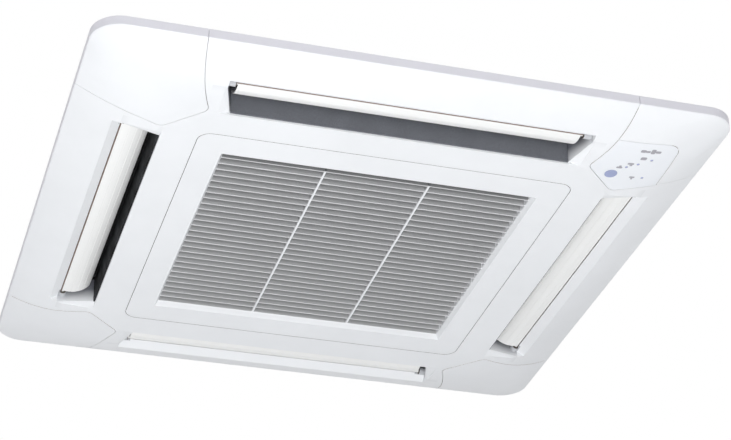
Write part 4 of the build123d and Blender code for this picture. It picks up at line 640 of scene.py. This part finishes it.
# ---------------------------------------------------------------- studio
# Pale floor well below, a pale ceiling round the unit, soft lamps, and the camera below and in
# front of it, a little to the left.
FLOOR_WIDTH = 24.0
FLOOR_HEIGHT = -2.40
CEILING_HOLE = 0.432        # half the side of the hole that the fascia covers
CEILING_HEIGHT = 0.0006
CEILING_SPREAD = 9.0
SOFT_BOXES = (              # name, place, aim, width, length, watts and tint
    ("key_box", (-0.6, -2.9, -2.2), (0, -0.2, 0), 1.6, 1.0, 36.0, (1.0, 1.0, 1.0)),
    ("under_box", (-0.3, -0.6, -2.3), (0, 0, 0), 2.4, 2.4, 53.0, (0.965, 0.985, 1.0)),
    ("over_box", (-2.2, -2.6, 3.0), (0, 0, 0), 2.4, 2.4, 190.0, (1.0, 1.0, 1.0)),
    ("back_box", (2.4, 2.6, 2.2), (0, 0, 0), 2.0, 2.0, 34.0, (1.0, 1.0, 1.0)),
)
AIR_TONE = (0.96, 0.97, 1.0, 1.0)
AIR_STRENGTH = 0.40
CAMERA_PLACE = (-0.8197, -2.8024, -1.7257)
CAMERA_AIM = (-0.0025, -0.1075, -0.045)
CAMERA_ROLL = -1.12
CAMERA_LENS = 105.1
CAMERA_SHIFT = 0.0137


def seen_rays(tree):
    """1 for the camera, and for rays that show the studio in gloss or through clear pieces."""
    path = tree.nodes.new("ShaderNodeLightPath")
    seen = path.outputs["Is Camera Ray"]
    for ray in ("Is Glossy Ray", "Is Transmission Ray"):
        either = tree.nodes.new("ShaderNodeMath")
        either.operation = "MAXIMUM"
        tree.links.new(seen, either.inputs[0])
        tree.links.new(path.outputs[ray], either.inputs[1])
        seen = either.outputs[0]
    return seen


def either_shader(tree, share, first, second):
    """The first shader where the share is 0, the second where it is 1."""
    node = tree.nodes.new("ShaderNodeMixShader")
    for index, source in enumerate((share, first, second)):
        tree.links.new(source, node.inputs[index])
    return node.outputs[0]


def one_sided(name, tone, lit):
    """Surface seen from its front only. Where it isn't lit, the camera sees it plain white."""
    recipe = Recipe(name)
    nodes, links = recipe.tree.nodes, recipe.tree.links
    plain = nodes.new("ShaderNodeBsdfDiffuse")
    cloud = recipe.mottle(3.0, detail=3.0)
    links.new(recipe.blend(cloud, shade(tone, 0.98), tone), plain.inputs["Color"])
    front = plain
    if not lit:
        front = nodes.new("ShaderNodeEmission")
        front.inputs["Color"].default_value = (1.0, 1.0, 1.0, 1.0)
    clear = nodes.new("ShaderNodeBsdfTransparent")
    from_behind = nodes.new("ShaderNodeNewGeometry").outputs["Backfacing"]
    shown = either_shader(recipe.tree, from_behind, front.outputs[0], clear.outputs[0])
    surface = either_shader(recipe.tree, seen_rays(recipe.tree), plain.outputs[0], shown)
    links.new(surface, nodes["Material Output"].inputs["Surface"])
    return recipe.material


bpy.ops.object.select_all(action="DESELECT")
bpy.ops.mesh.primitive_plane_add(size=FLOOR_WIDTH, location=(0, 0, FLOOR_HEIGHT))
floor = bpy.context.object
floor.name = "studio_floor"
clad(floor, one_sided("pale_floor", (0.88, 0.88, 0.88), lit=True))

bpy.ops.object.select_all(action="DESELECT")
bpy.ops.mesh.primitive_plane_add(size=2 * CEILING_HOLE, location=(0, 0, CEILING_HEIGHT))
ceiling = bpy.context.object
ceiling.name = "studio_ceiling"
bpy.ops.object.mode_set(mode="EDIT")
bpy.ops.mesh.select_all(action="SELECT")
bpy.ops.mesh.delete(type="ONLY_FACE")
bpy.ops.mesh.select_all(action="SELECT")
bpy.ops.mesh.extrude_edges_move()
bpy.ops.transform.resize(value=(CEILING_SPREAD, CEILING_SPREAD, 1.0))
bpy.ops.mesh.select_all(action="SELECT")
bpy.ops.mesh.normals_make_consistent(inside=False)
bpy.ops.object.mode_set(mode="OBJECT")
if ceiling.data.polygons[0].normal.z > 0:
    bpy.ops.object.mode_set(mode="EDIT")
    bpy.ops.mesh.select_all(action="SELECT")
    bpy.ops.mesh.flip_normals()
    bpy.ops.object.mode_set(mode="OBJECT")
clad(ceiling, one_sided("pale_ceiling", (0.86, 0.86, 0.86), lit=False))

for name, place, aim, width, length, watts, tint in SOFT_BOXES:
    data = bpy.data.lights.new(name, "AREA")
    data.shape = "RECTANGLE"
    data.size, data.size_y = width, length
    data.energy = watts
    data.color = tint
    lamp = bpy.data.objects.new(name, data)
    bpy.context.scene.collection.objects.link(lamp)
    lamp.location = place
    lamp.rotation_euler = (Vector(aim) - Vector(place)).to_track_quat("-Z", "Y").to_euler()
    lamp.visible_camera = False

world = bpy.data.worlds.new("studio_air")
bpy.context.scene.world = world
world.use_nodes = True
air = world.node_tree
dim = air.nodes["Background"]
dim.inputs["Color"].default_value = AIR_TONE
dim.inputs["Strength"].default_value = AIR_STRENGTH
backdrop = air.nodes.new("ShaderNodeBackground")
backdrop.inputs["Color"].default_value = (1.0, 1.0, 1.0, 1.0)
backdrop.inputs["Strength"].default_value = 1.0
around = either_shader(air, seen_rays(air), dim.outputs[0], backdrop.outputs[0])
air.links.new(around, air.nodes["World Output"].inputs["Surface"])

lens = bpy.data.cameras.new("camera")
lens.lens = CAMERA_LENS
lens.sensor_width = 36.0
lens.shift_x = CAMERA_SHIFT
lens.clip_start, lens.clip_end = 0.05, 60.0
camera = bpy.data.objects.new("camera", lens)
bpy.context.scene.collection.objects.link(camera)
camera.location = CAMERA_PLACE
look = (Vector(CAMERA_AIM) - Vector(CAMERA_PLACE)).to_track_quat("-Z", "Y")
camera.rotation_euler = look.to_euler()
camera.rotation_euler.rotate_axis("Z", math.radians(CAMERA_ROLL))
bpy.context.scene.camera = camera
bpy.context.scene.view_settings.view_transform = "Standard"

bpy.ops.object.select_all(action="DESELECT")
